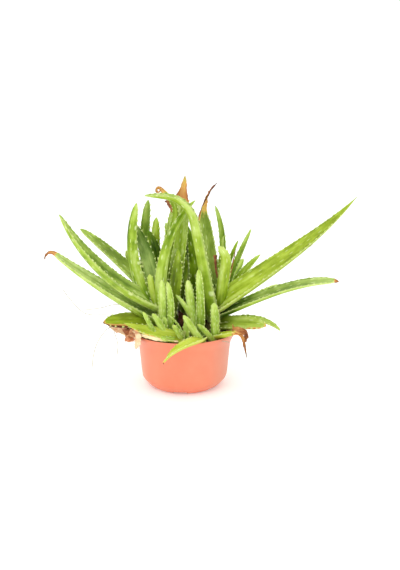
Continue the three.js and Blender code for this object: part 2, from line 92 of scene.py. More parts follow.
# ---- the plants
# A leaf springs from its stem "up" above the soil, "out" from the stem's axis towards "side". az is the
# compass direction in which it sets off, anticlockwise from +X, and rise its slope. bend is the change in
# slope from root to tip: even where late is 1, kept for the end where it is more, and made between two
# shares of the length where there is a knee. sweep changes az, and roll turns the blade about its own line.
# channel is how deep the upper face is hollowed, neck how wide the leaf is at its root, slim how wide it
# still is at its end, blunt how round its tip is, and full widens it all. From the share dry onwards the end
# is withered; it curls by curl, winds up more and more by coil, and twists by twist. It starts to fade a
# share wilt before that, and ages says how brown it is where it starts and at its tip. ragged and crumple
# say how uneven it is. scorch is how far one margin has dried, at the right where it is positive, over the
# length scorch_from. tone is how light, how yellow and how strongly flecked the leaf is; how light is set
# leaf by leaf partly as painted light and shade, darker for leaves deep in the plant and lighter for lit
# ones.
# shade is painted shade and light along the leaf: how much lighter it gets towards its root, mostly negative
# so that the root is darker, and towards its tip; it also says how grey its upper face is.
PLAIN = dict(
    late=1, knee=None, sweep=0, channel=0.34, neck=1.02, slim=1, blunt=0.35, full=1, dry=1, curl=0, coil=0,
    twist=0, wilt=0.08, ages=(0.45, 1), ragged=0.28, crumple=1.1, scorch=0, scorch_from=(0.1, 0.5),
    tone=(0, 0, 0.7), shade=(-0.45, 0, 0), young=False)


def leaf(name, spring, aim, size, **more):
    """A row of the tables. spring is (up, side, out), aim (az, rise, bend, roll) and size (long, wide)."""
    keys = ("up", "side", "out", "az", "rise", "bend", "roll", "long", "wide")
    return {**PLAIN, "name": name, **dict(zip(keys, (*spring, *aim, *size))), **more}


def young_leaf(aim, size, side=0, out=0):
    """A leaf of an offshoot."""
    return leaf("young", (1, side, out), aim, size, slim=0.85, blunt=3, young=True, tone=(0.2, 0, 0.45),
                shade=(-0.3, 0, 0))


def scrap(name, root, aim, size, dry=0, **more):
    """A leaf that springs from a point of its own, and is dry all through unless the row says otherwise."""
    return leaf(name, (0, 0, 0), aim, size, root=root, dry=dry, **more)


PLANTS = [
    dict(name="left", at=(-24, -6), radius=8.5, top=36, leaves=[
        leaf("inner_right", (24, 5, 7), (30, 73, 16, 50), (78, 15), blunt=0.8, tone=(-0.25, 0.2, 0.5)),
        leaf("thin_withered", (33, 180, 4), (30, 79, 55, 50), (162, 9), knee=(0.64, 0.83), sweep=-34,
             slim=0.9, blunt=2, dry=0.9, curl=170, coil=160, ages=(0.55, 0.5), tone=(0, 0.1, 0.4)),
        leaf("tall_withered", (34, 70, 11), (42, 78, 2, 40), (152, 28), blunt=0.8, dry=0.84, twist=30,
             ages=(0.62, 0.3), ragged=0.1, tone=(0.55, 0, 0.9), shade=(-0.5, 0.1, 0)),
        leaf("heart", (34, 215, 9), (212, 76, 2, 70), (42, 9), blunt=1.6, tone=(0.15, 0.35, 0.1),
             shade=(-0.2, 0, 0)),
        leaf("leaning", (16, 275, 8), (0, 95, -60, -75), (154, 17), late=1.7, sweep=40, neck=0.8, slim=0.6,
             blunt=1.2, tone=(0.4, 0, 1), shade=(-0.1, -0.2, 0.3)),
        leaf("pale", (32, 175, 9), (145, 90, -36, -55), (106, 17), blunt=0.8, tone=(0.1, -0.5, 0.2),
             shade=(0.2, -0.2, 0.3)),
        leaf("upright", (30, 205, 9), (174, 40, 68.5, 60), (133, 17), late=0.7, slim=0.75, blunt=2.4,
             tone=(0.4, 0, 1), shade=(-0.4, -0.3, 0.2)),
        leaf("back", (35, 155, 4), (162, 46, -10, -24), (132, 18), slim=0.8, blunt=1.8, tone=(0.3, 0.15, 0.7),
             shade=(0.1, -0.15, 0.3)),
        leaf("curved", (32, 205, 3), (198, 23, 44, -30), (166, 22), sweep=12, channel=0.6, slim=0.8,
             blunt=1.4, tone=(0.1, -0.05, 0.9), shade=(0.15, 0.05, 0.3)),
        leaf("low", (16, 190, 3), (186, 28, 15, -20), (160, 27), slim=0.5, blunt=1.3, dry=0.91, curl=-130,
             wilt=0.02, ages=(0.6, 0.8), tone=(0.45, -0.1, 1), shade=(-0.3, 0.1, 0.45)),
        # lowest is made dark, which is painted shade under the leaves above it.
        leaf("lowest", (9, 204, 3), (204, 18, -12, -36), (72, 24), blunt=1, dry=0.955, wilt=0.12,
             ages=(0.2, 1), scorch=-0.9, tone=(-0.5, 0.4, 0.2), shade=(-0.5, 0, 0)),
    ]),
    dict(name="right", at=(34, -2), radius=8.5, top=36, leaves=[
        # heart is made light, which is painted light that lifts it out of the shade of the leaves round it.
        leaf("heart", (20, 200, 8), (180, 84, 4, 80), (62, 16), tone=(0.5, 0.1, 0.6), shade=(-0.3, 0, 0)),
        leaf("arching", (17.5, 240, 6), (186, 79, -72.5, -14), (186, 22), knee=(0.595, 0.915), sweep=12,
             channel=0.75, slim=0.65, blunt=2.2, tone=(0.2, 0.05, 1), shade=(-0.35, 0.05, 0.4)),
        leaf("brown_topped", (33, 80, 9), (140, 82, -4, -50), (152, 20), dry=0.7, curl=70, twist=140,
             ages=(0.22, 1), scorch=-0.9, scorch_from=(0.6, 0.72), ragged=0.16, tone=(0.3, 0.15, 0.7),
             shade=(-0.3, 0, 0.35)),
        leaf("hooked", (30, 320, 9), (340, 82, 58, -60), (80, 15), knee=(0.65, 1), slim=0.9, blunt=1.6,
             tone=(0.3, 0.2, 0.8)),
        leaf("dry_thread", (29, 30, 9), (25, 68, 12, 0), (74, 4), dry=0.1, crumple=0.4),
        leaf("long", (33, 350, 4), (350, 36, 15, 40), (202, 26), late=2.5, blunt=0.1, tone=(0.15, 0.35, 0.5),
             shade=(0.15, -0.1, 0)),
        leaf("low", (22, 335, 4), (344, 26, -26, 22), (148, 16), late=3, slim=0.95, blunt=4, dry=0.97,
             wilt=0.01, ages=(0.6, 0.8), tone=(0.3, -0.1, 1), shade=(-0.6, 0, 0.5)),
        leaf("drooping", (13, 0, 4), (354, 14, -58, 20), (78, 11), late=2, slim=0.85, blunt=2.6, dry=0.97,
             ages=(0.12, 0.2), tone=(-0.05, 0.3, 0.3), shade=(-0.4, 0.2, 0.2)),
        leaf("short", (11, 330, 4), (334, 11, -9, 34), (62, 19), blunt=1.4, dry=0.95, ages=(0.15, 0.5),
             scorch=0.6, scorch_from=(0.55, 0.75), tone=(0.25, 0.3, 0.9), shade=(-0.6, 0, 0.2)),
    ]),
    dict(name="middle", at=(5, 15), radius=7.5, top=29, leaves=[
        # inner_left and inner_right are made dark, which is painted shade deep in the plant.
        leaf("inner_left", (18, 210, 5), (210, 84, 12, 60), (114, 18), tone=(-0.4, 0.1, 0.9),
             shade=(-0.2, -0.3, 0)),
        leaf("inner_right", (16, 350, 7), (150, 98, -26, -50), (113, 19), tone=(-0.5, 0.05, 1),
             shade=(-0.2, 0, 0)),
        leaf("front", (4, 300, 5), (320, 66, 10, 60), (62, 16), tone=(-0.2, 0.1, 0.6)),
        leaf("back_left", (22, 112, 5), (112, 62, -14, 0), (122, 20), blunt=0.8),
        leaf("back_right", (18, 70, 5), (70, 54, -16, 0), (116, 20), blunt=0.8, tone=(0.1, 0, 0.7)),
        leaf("back_low", (15, 92, 5), (92, 40, -12, 0), (96, 19), blunt=0.8, tone=(0.2, 0.1, 0.8)),
    ]),
    dict(name="back_left", at=(-33, 24), radius=6.5, top=27, leaves=[
        # broad is made dark, which is painted shade on a leaf deep in the plant.
        leaf("broad", (23, 300, 7), (185, 96, -26, -90), (100, 18), blunt=1, tone=(-0.4, 0, 0.3),
             shade=(0, 0, 0)),
        leaf("tall", (25, 150, 6), (130, 67, 41, -30), (134, 12.5), slim=0.9, blunt=2.8,
             tone=(-0.1, -0.2, 0.2), shade=(-0.3, 0, 0.2)),
        leaf("middle", (24, 50, 6), (60, 103, -20, 20), (113, 12.5), slim=0.9, blunt=2.8, tone=(0, 0.25, 0.1),
             shade=(-0.5, 0, 0)),
        leaf("small", (22, 220, 6), (190, 70, 20, 80), (52, 10), blunt=1.2, tone=(0.4, 0.3, 0.1)),
        leaf("side", (20, 180, 5), (178, 62, 12, -50), (83, 12), blunt=1.8, tone=(0.4, 0.25, 0.2),
             shade=(-0.3, 0, 0)),
        leaf("back", (16, 114, 4), (116, 44, -12, 0), (102, 18), blunt=0.8),
        leaf("low", (12, 152, 4), (152, 28, -8, 0), (82, 17), blunt=0.8, tone=(0.35, 0.1, 0.8)),
    ]),
    dict(name="back_right", at=(37, 24), radius=6.5, top=28, leaves=[
        leaf("tall", (25, 110, 5), (10, 74, 38, 60), (127, 9), late=1.5, slim=0.8, blunt=2,
             tone=(0, -0.4, 0.3)),
        leaf("inner", (25, 250, 5), (355, 80, 6, 40), (90, 6.5), blunt=1.5, tone=(0.5, 0.1, 0.1)),
        leaf("near", (23, 330, 7), (8, 86, -20, 40), (89, 6.5), blunt=1.5, tone=(0.3, 0.1, 0.2)),
        leaf("side", (22, 40, 7), (20, 70, -6, 30), (107, 9), slim=0.9, blunt=1, tone=(0, -0.2, 0.3)),
        leaf("outer", (20, 350, 8), (4, 70, -26, 40), (86, 11), blunt=0.9, tone=(0, 0.1, 0.3)),
        leaf("low", (16, 4, 4), (4, 26, 3, 24), (82, 11), slim=0.8, blunt=2, tone=(0.4, 0.1, 0.4),
             shade=(-0.6, 0.3, 0)),
        leaf("back", (14, 64, 4), (62, 42, -12, 0), (102, 18), blunt=0.8),
    ]),
]

# An offshoot is a stub with short leaves that start at the soil. Some have an old leaf that has sunk
# over the pot's edge.
OFFSHOOTS = [
    dict(name="front_left", at=(-24, -37), radius=4, leaves=[
        young_leaf((198, 63, 4, 40), (42, 7), side=180, out=5),
        young_leaf((195, 62, 0, 50), (40, 9.5), side=20, out=7),
        young_leaf((80, 74, 2, 10), (30, 9)),
    ]),
    dict(name="left", at=(-24, -27), radius=4.6, leaves=[
        young_leaf((200, 89, 0, 70), (70, 10.5)),
        young_leaf((0, 72, 34, 70), (69, 9), side=0, out=4),
        young_leaf((100, 70, 8, -30), (40, 9.5)),
    ]),
    dict(name="front", at=(0, -42), radius=4, leaves=[
        young_leaf((200, 68, -6, 50), (26, 7.5), side=190, out=2),
        young_leaf((70, 84, 0, 0), (27, 8.5), side=60, out=4),
        young_leaf((168, 88, -52, 20), (38, 6.5), side=120, out=3),
        young_leaf((206, 21, -4, -20), (31, 10)),
    ], old=leaf("old", (5, 0, 0), (177, 8, 17, -32), (71, 17), scorch=-0.4, tone=(0.25, 0.6, 0.1))),
    dict(name="middle", at=(14, -24), radius=5.5, leaves=[
        young_leaf((160, 80, 4, 105), (69, 11.5), side=200, out=1),
        young_leaf((0, 86, 12, 60), (81, 11), side=0, out=5),
        young_leaf((178, 80, -30, 60), (57, 7.5), side=90, out=2),
        young_leaf((60, 80, 6, 60), (46, 10)),
    ]),
    dict(name="front_right", at=(20, -44), radius=4, leaves=[
        young_leaf((186, 54, 10, 60), (41, 9.5)),
    ], old=leaf("old", (7, 0, 0), (264, 15, -78, 0), (68, 13), late=1.5, sweep=-104, neck=0.6, slim=0.75,
                blunt=2.4, full=1.3, dry=0.95, wilt=0.05, ages=(0.35, 1), scorch=-0.2, tone=(0.5, 0.9, 0.1))),
    dict(name="right", at=(34, -33), radius=4.4, leaves=[
        young_leaf((220, 92, -8, 40), (46, 10.5)),
        young_leaf((200, 57, -8, 40), (30, 8.5), side=240, out=5),
    ], old=leaf("old", (6, 0, 0), (341, 16, -92, 0), (57, 12), knee=(0.37, 0.68), slim=0.6, dry=0.45,
                twist=60, ages=(0.5, 0.9), tone=(0.6, 0.8, 0.1))),
    dict(name="back_left", at=(-9, 42), radius=4.4, leaves=[
        young_leaf((120, 56, 8, 0), (54, 12)),
        young_leaf((50, 70, 4, 0), (50, 12)),
        young_leaf((200, 74, 4, 60), (46, 12)),
    ]),
    dict(name="back_right", at=(18, 41), radius=4.4, leaves=[
        young_leaf((60, 62, 6, 0), (54, 12)),
        young_leaf((140, 74, 4, 0), (50, 12)),
        young_leaf((0, 68, 8, 60), (46, 12)),
    ]),
]

# Papery remains of old leaves, described as leaves are, and one fresh inner leaf coloured very dark as
# painted shade.
SCRAPS = [
    scrap("left_ball_fold", (-62, -31, 75), (250, -78, -30, 70), (22, 22), twist=40, curl=-60, slim=0.7,
          blunt=2, crumple=2.8, ages=(0.9, 0.4)),
    scrap("left_ball_cream", (-56, -34, 75), (280, -74, -30, -70), (22, 24), twist=-50, curl=70, slim=0.8,
          blunt=2, crumple=3, ages=(0.3, 0)),
    scrap("left_ball_tail", (-52, -36, 70), (265, -84, -8, 80), (17, 5), twist=40, crumple=1.2, ages=(0, 0)),
    scrap("lowest_flap", (-50, -31, 69), (189, 14, 8, -84), (37, 17), slim=0.8, blunt=1, crumple=3,
          ages=(0.6, 0)),
    scrap("front_old_edge", (-7, -53, 67.1), (180, 2, 9, -72), (62, 6.6), sweep=-46, neck=0.3, crumple=0.6,
          ages=(-0.5, -0.3)),
    scrap("tall_withered_curl", (-20, 11, 216), (320, -62, -30, -80), (16, 13), twist=50, curl=40, crumple=2,
          ages=(1, 0.8)),
    scrap("right_strip", (36, -5, 155), (330, -86, 4, 80), (31, 5), twist=30, crumple=1.2, ages=(1, 1)),
    scrap("right_fold", (54, -36, 72), (352, 2, -105, 40), (27, 17), knee=(0.3, 0.75), twist=30, slim=0.5,
          crumple=2.4, ages=(0.62, 1)),
    scrap("front_bark", (6, -52, 65), (350, 8, -10, -40), (10, 8), crumple=1.6, ages=(0, 0.1)),
    scrap("long_leaf_scar", (138.5, -24.5, 167), (350, 32, 4, 60), (6, 4), crumple=0.4, ages=(1, 1)),
    scrap("middle_sheath", (24, 6, 61), (60, 86, 4, 150), (24, 26), slim=0.7, blunt=1, crumple=2,
          ages=(1.5, 1.3)),
    scrap("left_sheath", (-6, 4, 61), (60, 88, 4, 150), (26, 24), slim=0.7, blunt=1, crumple=2,
          ages=(1.5, 1.3)),
    # A fresh leaf deep in the middle, coloured very dark as painted shade.
    scrap("middle_inner_sheath", (6, 23, 84), (200, 88, 2, 80), (98, 13), crumple=0, tone=(-0.7, 0.1, 0.3),
          shade=(0, 0, 0), dry=1),
]

# Thin dry fibres, each given by the points that it hangs through.
FIBRES = [
    [(-60, -14, 90), (-68, -15, 87), (-90, -20, 89), (-113, -20, 91), (-129, -20, 107), (-137, -20, 119)],
    [(-58, -14, 92), (-76, -15, 100), (-96, -20, 97), (-112, -20, 95)],
    [(-80, -34, 80), (-88, -40, 76), (-97, -42, 63), (-102, -42, 48), (-104, -42, 34)],
    [(-80, -34, 76), (-75, -38, 60), (-76, -38, 47)],
    [(38, -36, 61), (44, -44, 64), (50, -42, 62)],
]


# ---- node trees
def paint(red, green, blue):
    """A colour given by its screen values, 0 to 255."""
    return tuple(((v / 255 + 0.055) / 1.055) ** 2.4 if v > 10 else v / 3294.6
                 for v in (red, green, blue)) + (1.0,)


def colour_of(value):
    """Three numbers are screen values, and four are the colour itself."""
    return paint(*value) if len(value) == 3 else value


class Wire:
    """The output of a node. Adding to it, or multiplying it, puts a Math node after it."""

    def __init__(self, bench, socket):
        self.bench = bench
        self.socket = socket

    def out(self, name):
        return Wire(self.bench, self.socket.node.outputs[name])

    def __add__(self, other):
        return self.bench.math("ADD", self, other)

    def __sub__(self, other):
        return self.bench.math("SUBTRACT", self, other)

    def __rsub__(self, other):
        return self.bench.math("SUBTRACT", other, self)

    def __mul__(self, other):
        return self.bench.math("MULTIPLY", self, other)

    def __truediv__(self, other):
        return self.bench.math("DIVIDE", self, other)

    __radd__ = __add__
    __rmul__ = __mul__


NUMBER = "NodeSocketFloat"
SHAPE = "NodeSocketGeometry"
MATERIAL = "NodeSocketMaterial"
KINDS = {float: NUMBER, int: "NodeSocketInt", bool: "NodeSocketBool"}


class Bench:
    """A node tree being built. It adds one node at a time and feeds its inputs. What the tree takes and
    gives is named, with a kind of socket or, for what it takes, a first value."""

    def __init__(self, tree, takes=None, gives=None):
        self.tree = tree
        for name, value in (takes or {}).items():
            kind = KINDS.get(type(value), value)
            socket = tree.interface.new_socket(name, in_out="INPUT", socket_type=kind)
            if kind != value:
                socket.default_value = value
        for name, kind in (gives or {}).items():
            tree.interface.new_socket(name, in_out="OUTPUT", socket_type=kind)
        if takes:
            self.start = tree.nodes.new("NodeGroupInput")
            self.end = tree.nodes.new("NodeGroupOutput")

    def add(self, kind, feeds=None, out=0, **settings):
        node = self.tree.nodes.new(kind)
        for name, value in settings.items():
            setattr(node, name, value)
        for key, value in (feeds or {}).items():
            self.feed(node.inputs[key], value)
        return Wire(self, node.outputs[out]) if node.outputs else None

    def feed(self, socket, value):
        for item in value if isinstance(value, list) else [value]:
            if isinstance(item, Wire):
                self.tree.links.new(item.socket, socket)
            else:
                socket.default_value = colour_of(item) if socket.type == "RGBA" else item

    def take(self, name):
        return Wire(self, self.start.outputs[name])

    def give(self, name, value):
        self.feed(self.end.inputs[name], value)

    def shader(self, kind, feeds=None, out=0, **settings):
        return self.add("ShaderNode" + kind, feeds, out, **settings)

    def shape(self, kind, feeds=None, **settings):
        return self.add("GeometryNode" + kind, feeds, **settings)

    # numbers, vectors and colours
    def math(self, operation, *values, clamp=False):
        return self.shader("Math", dict(enumerate(values)), operation=operation, use_clamp=clamp)

    def vector(self, operation, *values):
        return self.shader("VectorMath", dict(enumerate(values)), operation=operation)

    def scaled(self, vector, factor):
        return self.shader("VectorMath", {0: vector, "Scale": factor}, operation="SCALE")

    def xyz(self, x=0.0, y=0.0, z=0.0):
        return self.shader("CombineXYZ", {0: x, 1: y, 2: z})

    def parts(self, vector):
        """The X of a vector, with its Y and Z at the same node."""
        return self.shader("SeparateXYZ", {0: vector})

    def ease(self, value, low, high, start=0.0, end=1.0):
        """A smooth step from start to end, as value goes from low to high."""
        feeds = {0: value, 1: low, 2: high, 3: start, 4: end}
        return self.shader("MapRange", feeds, interpolation_type="SMOOTHSTEP")

    def blend(self, factor, a, b):
        """A mix of two colours."""
        return self.shader("Mix", {0: factor, 6: a, 7: b}, out=2, data_type="RGBA")

    def noise(self, vector, scale=1.0, detail=3.0, roughness=0.5, distortion=0.0):
        return self.shader("TexNoise", {"Vector": vector, "Scale": scale, "Detail": detail,
                                        "Roughness": roughness, "Distortion": distortion})

    def ramp(self, factor, stops):
        colour = self.shader("ValToRGB", {0: factor})
        marks = colour.socket.node.color_ramp.elements
        while len(marks) < len(stops):
            marks.new(0.5)
        for mark, (place, tint) in zip(marks, stops):
            mark.position = place
            mark.color = colour_of(tint)
        return colour

    def attribute(self, name, out="Fac"):
        return self.shader("Attribute", out=out, attribute_name=name)

    # shapes
    def named(self, name, kind="FLOAT"):
        return self.shape("InputNamedAttribute", {"Name": name}, data_type=kind)

    def position(self):
        return self.shape("InputPosition")

    def sample(self, shape, value, index, kind="FLOAT"):
        feeds = {"Geometry": shape, "Value": value, "Index": index}
        return self.shape("SampleIndex", feeds, data_type=kind, domain="POINT")

    def store(self, shape, name, value, kind="FLOAT"):
        feeds = {"Geometry": shape, "Name": name, "Value": value}
        return self.shape("StoreNamedAttribute", feeds, data_type=kind, domain="POINT")

    def moved(self, shape, **to):
        return self.shape("SetPosition", {"Geometry": shape, **to})

    def merged(self, shape, distance):
        return self.shape("MergeByDistance", {"Geometry": shape, "Distance": distance})

    def aimed(self, first, second):
        feeds = {0: first, 1: second}
        return self.add("FunctionNodeAxesToRotation", feeds, primary_axis="Z", secondary_axis="X")

    def sheet(self, steps, around):
        """A grid to wrap round a line: its mesh, and each point's step along it and turn about it."""
        grid = self.shape("MeshGrid", {
            "Size X": 1.0, "Size Y": 1.0, "Vertices X": steps + 1, "Vertices Y": around + 1})
        place = self.parts(self.position())
        step = self.math("ROUND", (place + 0.5) * steps)
        return grid.out("Mesh"), step, (place.out("Y") + 0.5) * math.tau

    def finish(self, name, shape, smooth=True):
        """Ends the tree: the shape gets its material and is what the tree gives by this name."""
        if smooth:
            shape = self.shape("SetShadeSmooth", {0: shape})
        self.give(name, self.shape("SetMaterial", {"Geometry": shape, "Material": self.take("Finish")}))
        return self.tree


def new_tree(name, kind, takes, gives):
    return Bench(bpy.data.node_groups.new(name, kind + "NodeTree"), takes, gives)


# ---- Geometry Nodes: a leaf
def leaf_tree():
    """Skins a crescent section over a rail, whose points say how wide and thick the leaf is there, and
    sets a hooked tooth wherever the rail asks for one."""
    b = new_tree("Toothed leaf", "Geometry", {
        "Rail": SHAPE, "Points Around": LEAF_SIDES, "Crumple": 0.0012, "Unevenness": 0.0003,
        "Tooth Height": 0.002, "Tooth Width": 0.0015, "Seed": 0.0, "Finish": MATERIAL}, {"Leaf": SHAPE})
    arrow = "FLOAT_VECTOR"
    rail = b.take("Rail")
    rings = b.shape("AttributeDomainSize", {0: rail}, component="MESH")
    blade, ring, turn = b.sheet(rings - 1, b.take("Points Around"))
    cosine = b.math("COSINE", turn)
    sine = b.math("SINE", turn)

    def on_ring(name, kind="FLOAT"):
        return b.sample(rail, b.named(name, kind), ring, kind)

    half, thick, hollow, bead = (on_ring(name) for name in ("half", "thick", "hollow", "bead"))
    upper = b.math("MAXIMUM", sine, 0.0)
    under = b.math("MAXIMUM", 0.0 - sine, 0.0)
    lift = hollow + thick * 0.5
    margin = bead * b.math("SINE", b.math("MINIMUM", upper * 2.5, 1.0) * math.pi)
    out = lift - hollow * b.math("POWER", upper, 1.6) - (hollow + thick) * under + margin
    over = half * cosine
    face = on_ring("face", arrow)
    section = b.vector("ADD", b.scaled(on_ring("across", arrow), over), b.scaled(face, out))
    at = b.vector("ADD", on_ring("at", arrow), section)

    for name in ("run", "share", "withered", "age"):
        blade = b.store(blade, name, on_ring(name))
    for name in ("tone", "shade"):
        blade = b.store(blade, name, on_ring(name, arrow), arrow)
    blade = b.store(blade, "facing", face, arrow)
    scorched = b.math("MAXIMUM", on_ring("scorch") * cosine - 0.25, 0.0) * 1.6
    for name, value in (("span", over * 1000.0), ("edge", b.math("ABSOLUTE", cosine)), ("belly", under),
                        ("scorched", scorched)):
        blade = b.store(blade, name, value)
    blade = b.merged(b.moved(blade, Position=at), 0.00002)
    # a dry part crumples like paper, both faces alike, and flesh is a little uneven
    run = b.named("run")
    span = b.named("span")
    fold = b.noise(b.xyz(run * 0.26, span * 0.34, b.take("Seed")), 1.3, 3.0, 0.65, 1.2) - 0.5
    dryness = b.math("MAXIMUM", b.named("withered"), b.named("scorched"))
    folded = b.scaled(b.named("facing", arrow), fold * 4.0 * dryness * b.take("Crumple"))
    lumps = b.noise(b.xyz(run * 0.07, span * 0.3, b.take("Seed") + 7.0), 1.0, 2.0) - 0.5
    uneven = b.scaled(b.shape("InputNormal"), lumps * 2.0 * b.take("Unevenness"))
    pieces = [b.moved(blade, Offset=b.vector("ADD", folded, uneven))]

    cone = b.shape("MeshCone", {
        "Vertices": 6, "Side Segments": 3, "Radius Top": 0.04, "Radius Bottom": 1.0, "Depth": 1.0})
    height = b.parts(b.position()).out("Z")
    hook = b.xyz(b.math("POWER", height, 2.0) * 0.7, 0.0, -0.25)
    thorn = b.moved(b.store(cone, "thorn", height), Offset=hook)
    along = b.named("along", arrow)
    middle = b.scaled(b.named("face", arrow), b.named("hollow") + b.named("thick") * 0.5)
    for way, flag in ((1.0, "tooth_right"), (-1.0, "tooth_left")):
        across = b.scaled(b.named("across", arrow), way)
        edge = b.vector("ADD", b.scaled(across, b.named("half")), middle)
        lean = b.vector("ADD", across, b.scaled(along, 0.45))
        size = b.named(flag)
        width = b.take("Tooth Width") * size
        pieces.append(b.shape("InstanceOnPoints", {
            "Points": b.moved(rail, Offset=edge), "Selection": b.math("GREATER_THAN", size, 0.01),
            "Instance": thorn, "Rotation": b.aimed(lean, along),
            "Scale": b.xyz(width, width * 0.45, b.take("Tooth Height") * size)}))
    whole = b.shape("RealizeInstances", {0: b.shape("JoinGeometry", {0: pieces[::-1]})})
    return b.finish("Leaf", whole)


# ---- Geometry Nodes: pot, soil, fibres
def ring_of(b, cutter, count, radius, turn):
    """Copies of a cutter, evenly round the pot's axis."""
    points = b.shape("MeshCircle", {"Vertices": count, "Radius": radius})
    spin = b.shape("Transform", {"Geometry": points, "Rotation": (0.0, 0.0, math.radians(turn))})
    copies = b.shape("InstanceOnPoints", {
        "Points": spin, "Instance": cutter, "Rotation": b.aimed((0.0, 0.0, 1.0), b.position())})
    return b.shape("RealizeInstances", {"Geometry": copies})


def pot_tree():
    """Turns the wall's outline about the pot's axis, then cuts the foot ring's notches and the drains."""
    b = new_tree("Turned pot", "Geometry", {
        "Outline": SHAPE, "Sides": 144, "Notches": NOTCH_COUNT, "Notch Width": NOTCH_WIDTH * MM,
        "Foot Radius": FOOT_RADIUS * MM, "Foot Height": FOOT_HEIGHT * MM, "Drains": DRAIN_COUNT,
        "Drain Radius": DRAIN_RADIUS * MM, "Drain Circle": DRAIN_CIRCLE * MM, "Finish": MATERIAL,
    }, {"Pot": SHAPE})
    outline = b.take("Outline")
    points = b.shape("AttributeDomainSize", {0: outline}, component="MESH")
    wall, step, turn = b.sheet(points, b.take("Sides"))
    index = b.math("FLOORED_MODULO", step, points)
    at = b.parts(b.sample(outline, b.position(), index, "FLOAT_VECTOR"))
    turned = b.xyz(at * b.math("COSINE", turn), at * b.math("SINE", turn), at.out("Z"))
    wall = b.merged(b.moved(wall, Position=turned), 0.00001)
    notch = b.shape("MeshCube", {
        "Size": b.xyz(NOTCH_DEPTH * MM, b.take("Notch Width"), b.take("Foot Height") * NOTCH_RISE)})
    drain = b.shape("MeshCylinder", {
        "Vertices": 24, "Radius": b.take("Drain Radius"), "Depth": b.take("Foot Height") * 6.0})
    cutters = [ring_of(b, notch, b.take("Notches"), b.take("Foot Radius"), NOTCH_TURN),
               ring_of(b, drain, b.take("Drains"), b.take("Drain Circle"), DRAIN_TURN)]
    cut = b.shape("MeshBoolean", {0: wall, 1: cutters}, operation="DIFFERENCE", solver="EXACT")
    return b.finish("Pot", cut)


def crumb_tree():
    """Strews lumpy crumbs over the faces of a surface that look up."""
    b = new_tree("Strewn crumbs", "Geometry", {
        "Ground": SHAPE, "Density": 120000.0, "Smallest": 0.0004, "Largest": 0.0014, "Flatness": 0.7,
        "Seed": 3, "Keep Ground": True, "Finish": MATERIAL}, {"Crumbs": SHAPE})
    ground = b.take("Ground")
    facing = b.parts(b.shape("InputNormal")).out("Z")
    points = b.shape("DistributePointsOnFaces", {
        "Mesh": ground, "Selection": b.math("GREATER_THAN", facing, 0.7), "Density": b.take("Density"),
        "Seed": b.take("Seed")})
    lump = b.shape("MeshIcoSphere", {"Radius": 1.0, "Subdivisions": 2})
    rough = b.shader("TexNoise", {"Scale": 1.1, "Detail": 1.0}, out="Color")
    lump = b.moved(lump, Offset=b.scaled(b.vector("SUBTRACT", rough, (0.5, 0.5, 0.5)), 1.4))
    turns = b.add("FunctionNodeRandomValue", {0: (0.0, 0.0, 0.0), 1: (6.3, 6.3, 6.3), "Seed": 5},
                  data_type="FLOAT_VECTOR")
    chance = b.add("FunctionNodeRandomValue", {2: 0.0, 3: 1.0, "Seed": 8}, out=1, data_type="FLOAT")
    smallest = b.take("Smallest")
    size = smallest + (b.take("Largest") - smallest) * b.math("POWER", chance, 3.0)
    crumbs = b.shape("InstanceOnPoints", {
        "Points": points, "Instance": lump, "Rotation": turns,
        "Scale": b.xyz(size, size * 0.8, size * b.take("Flatness"))})
    crumbs = b.shape("RealizeInstances", {"Geometry": crumbs})
    kept = b.shape("Switch", {"Switch": b.take("Keep Ground"), "True": ground}, input_type="GEOMETRY")
    return b.finish("Crumbs", b.shape("JoinGeometry", {0: [crumbs, kept]}), smooth=False)


def fibre_tree():
    """Gives thin lines a round body that narrows to its ends."""
    b = new_tree("Fibres", "Geometry", {"Lines": SHAPE, "Radius": 0.0003, "Finish": MATERIAL},
                 {"Fibres": SHAPE})
    curve = b.shape("MeshToCurve", {"Mesh": b.take("Lines")})
    factor = b.shape("SplineParameter", out="Factor")
    thin = 0.35 + 0.65 * b.math("SINE", factor * math.pi)
    curve = b.shape("SetCurveRadius", {"Curve": curve, "Radius": thin})
    section = b.shape("CurvePrimitiveCircle", {"Resolution": 6, "Radius": b.take("Radius")})
    body = b.shape("CurveToMesh", {"Curve": curve, "Profile Curve": section, "Fill Caps": True})
    return b.finish("Fibres", body)


# ---- making pieces
def placed(name, data):
    thing = bpy.data.objects.new(name, data)
    scene.collection.objects.link(thing)
    return thing


def grown(name, source, tree, **values):
    """The mesh that a tree makes from a source mesh, with its inputs given by their names."""
    worker = placed(name + "_source", source)
    modifier = worker.modifiers.new("Maker", "NODES")
    modifier.node_group = tree
    for item in tree.interface.items_tree:
        key = item.name.lower().replace(" ", "_")
        if item.in_out == "INPUT" and key in values:
            modifier[item.identifier] = values[key]
    depsgraph = bpy.context.evaluated_depsgraph_get()
    mesh = bpy.data.meshes.new_from_object(
        worker.evaluated_get(depsgraph), preserve_all_data_layers=True, depsgraph=depsgraph)
    worker.modifiers.remove(modifier)
    bpy.data.objects.remove(worker)
    mesh.name = name
    return mesh


def meshed(name, points, edges=(), faces=(), flat=True):
    mesh = bpy.data.meshes.new(name)
    mesh.from_pydata(points, edges, faces, shade_flat=flat)
    return mesh


def skinned(name, rings, crown=None, flat=True):
    """A closed mesh over rings of points, which ends level or at a point in the middle, its crown."""
    sides = len(rings[0])
    points = [point for ring in rings for point in ring]
    last = len(points) - sides
    faces = []
    for start in range(0, last, sides):
        for j in range(sides):
            k = (j + 1) % sides
            faces.append((start + j, start + k, start + sides + k, start + sides + j))
    faces.append(tuple(reversed(range(sides))))
    if crown:
        faces += [(last + j, last + (j + 1) % sides, len(points)) for j in range(sides)]
        points.append(crown)
    else:
        faces.append(tuple(range(last, len(points))))
    return meshed(name, points, faces=faces, flat=flat)


SPARE = ("across", "along", "face", "facing", "at", "half", "thick", "hollow", "bead", "scorch",
         "tooth_left", "tooth_right")


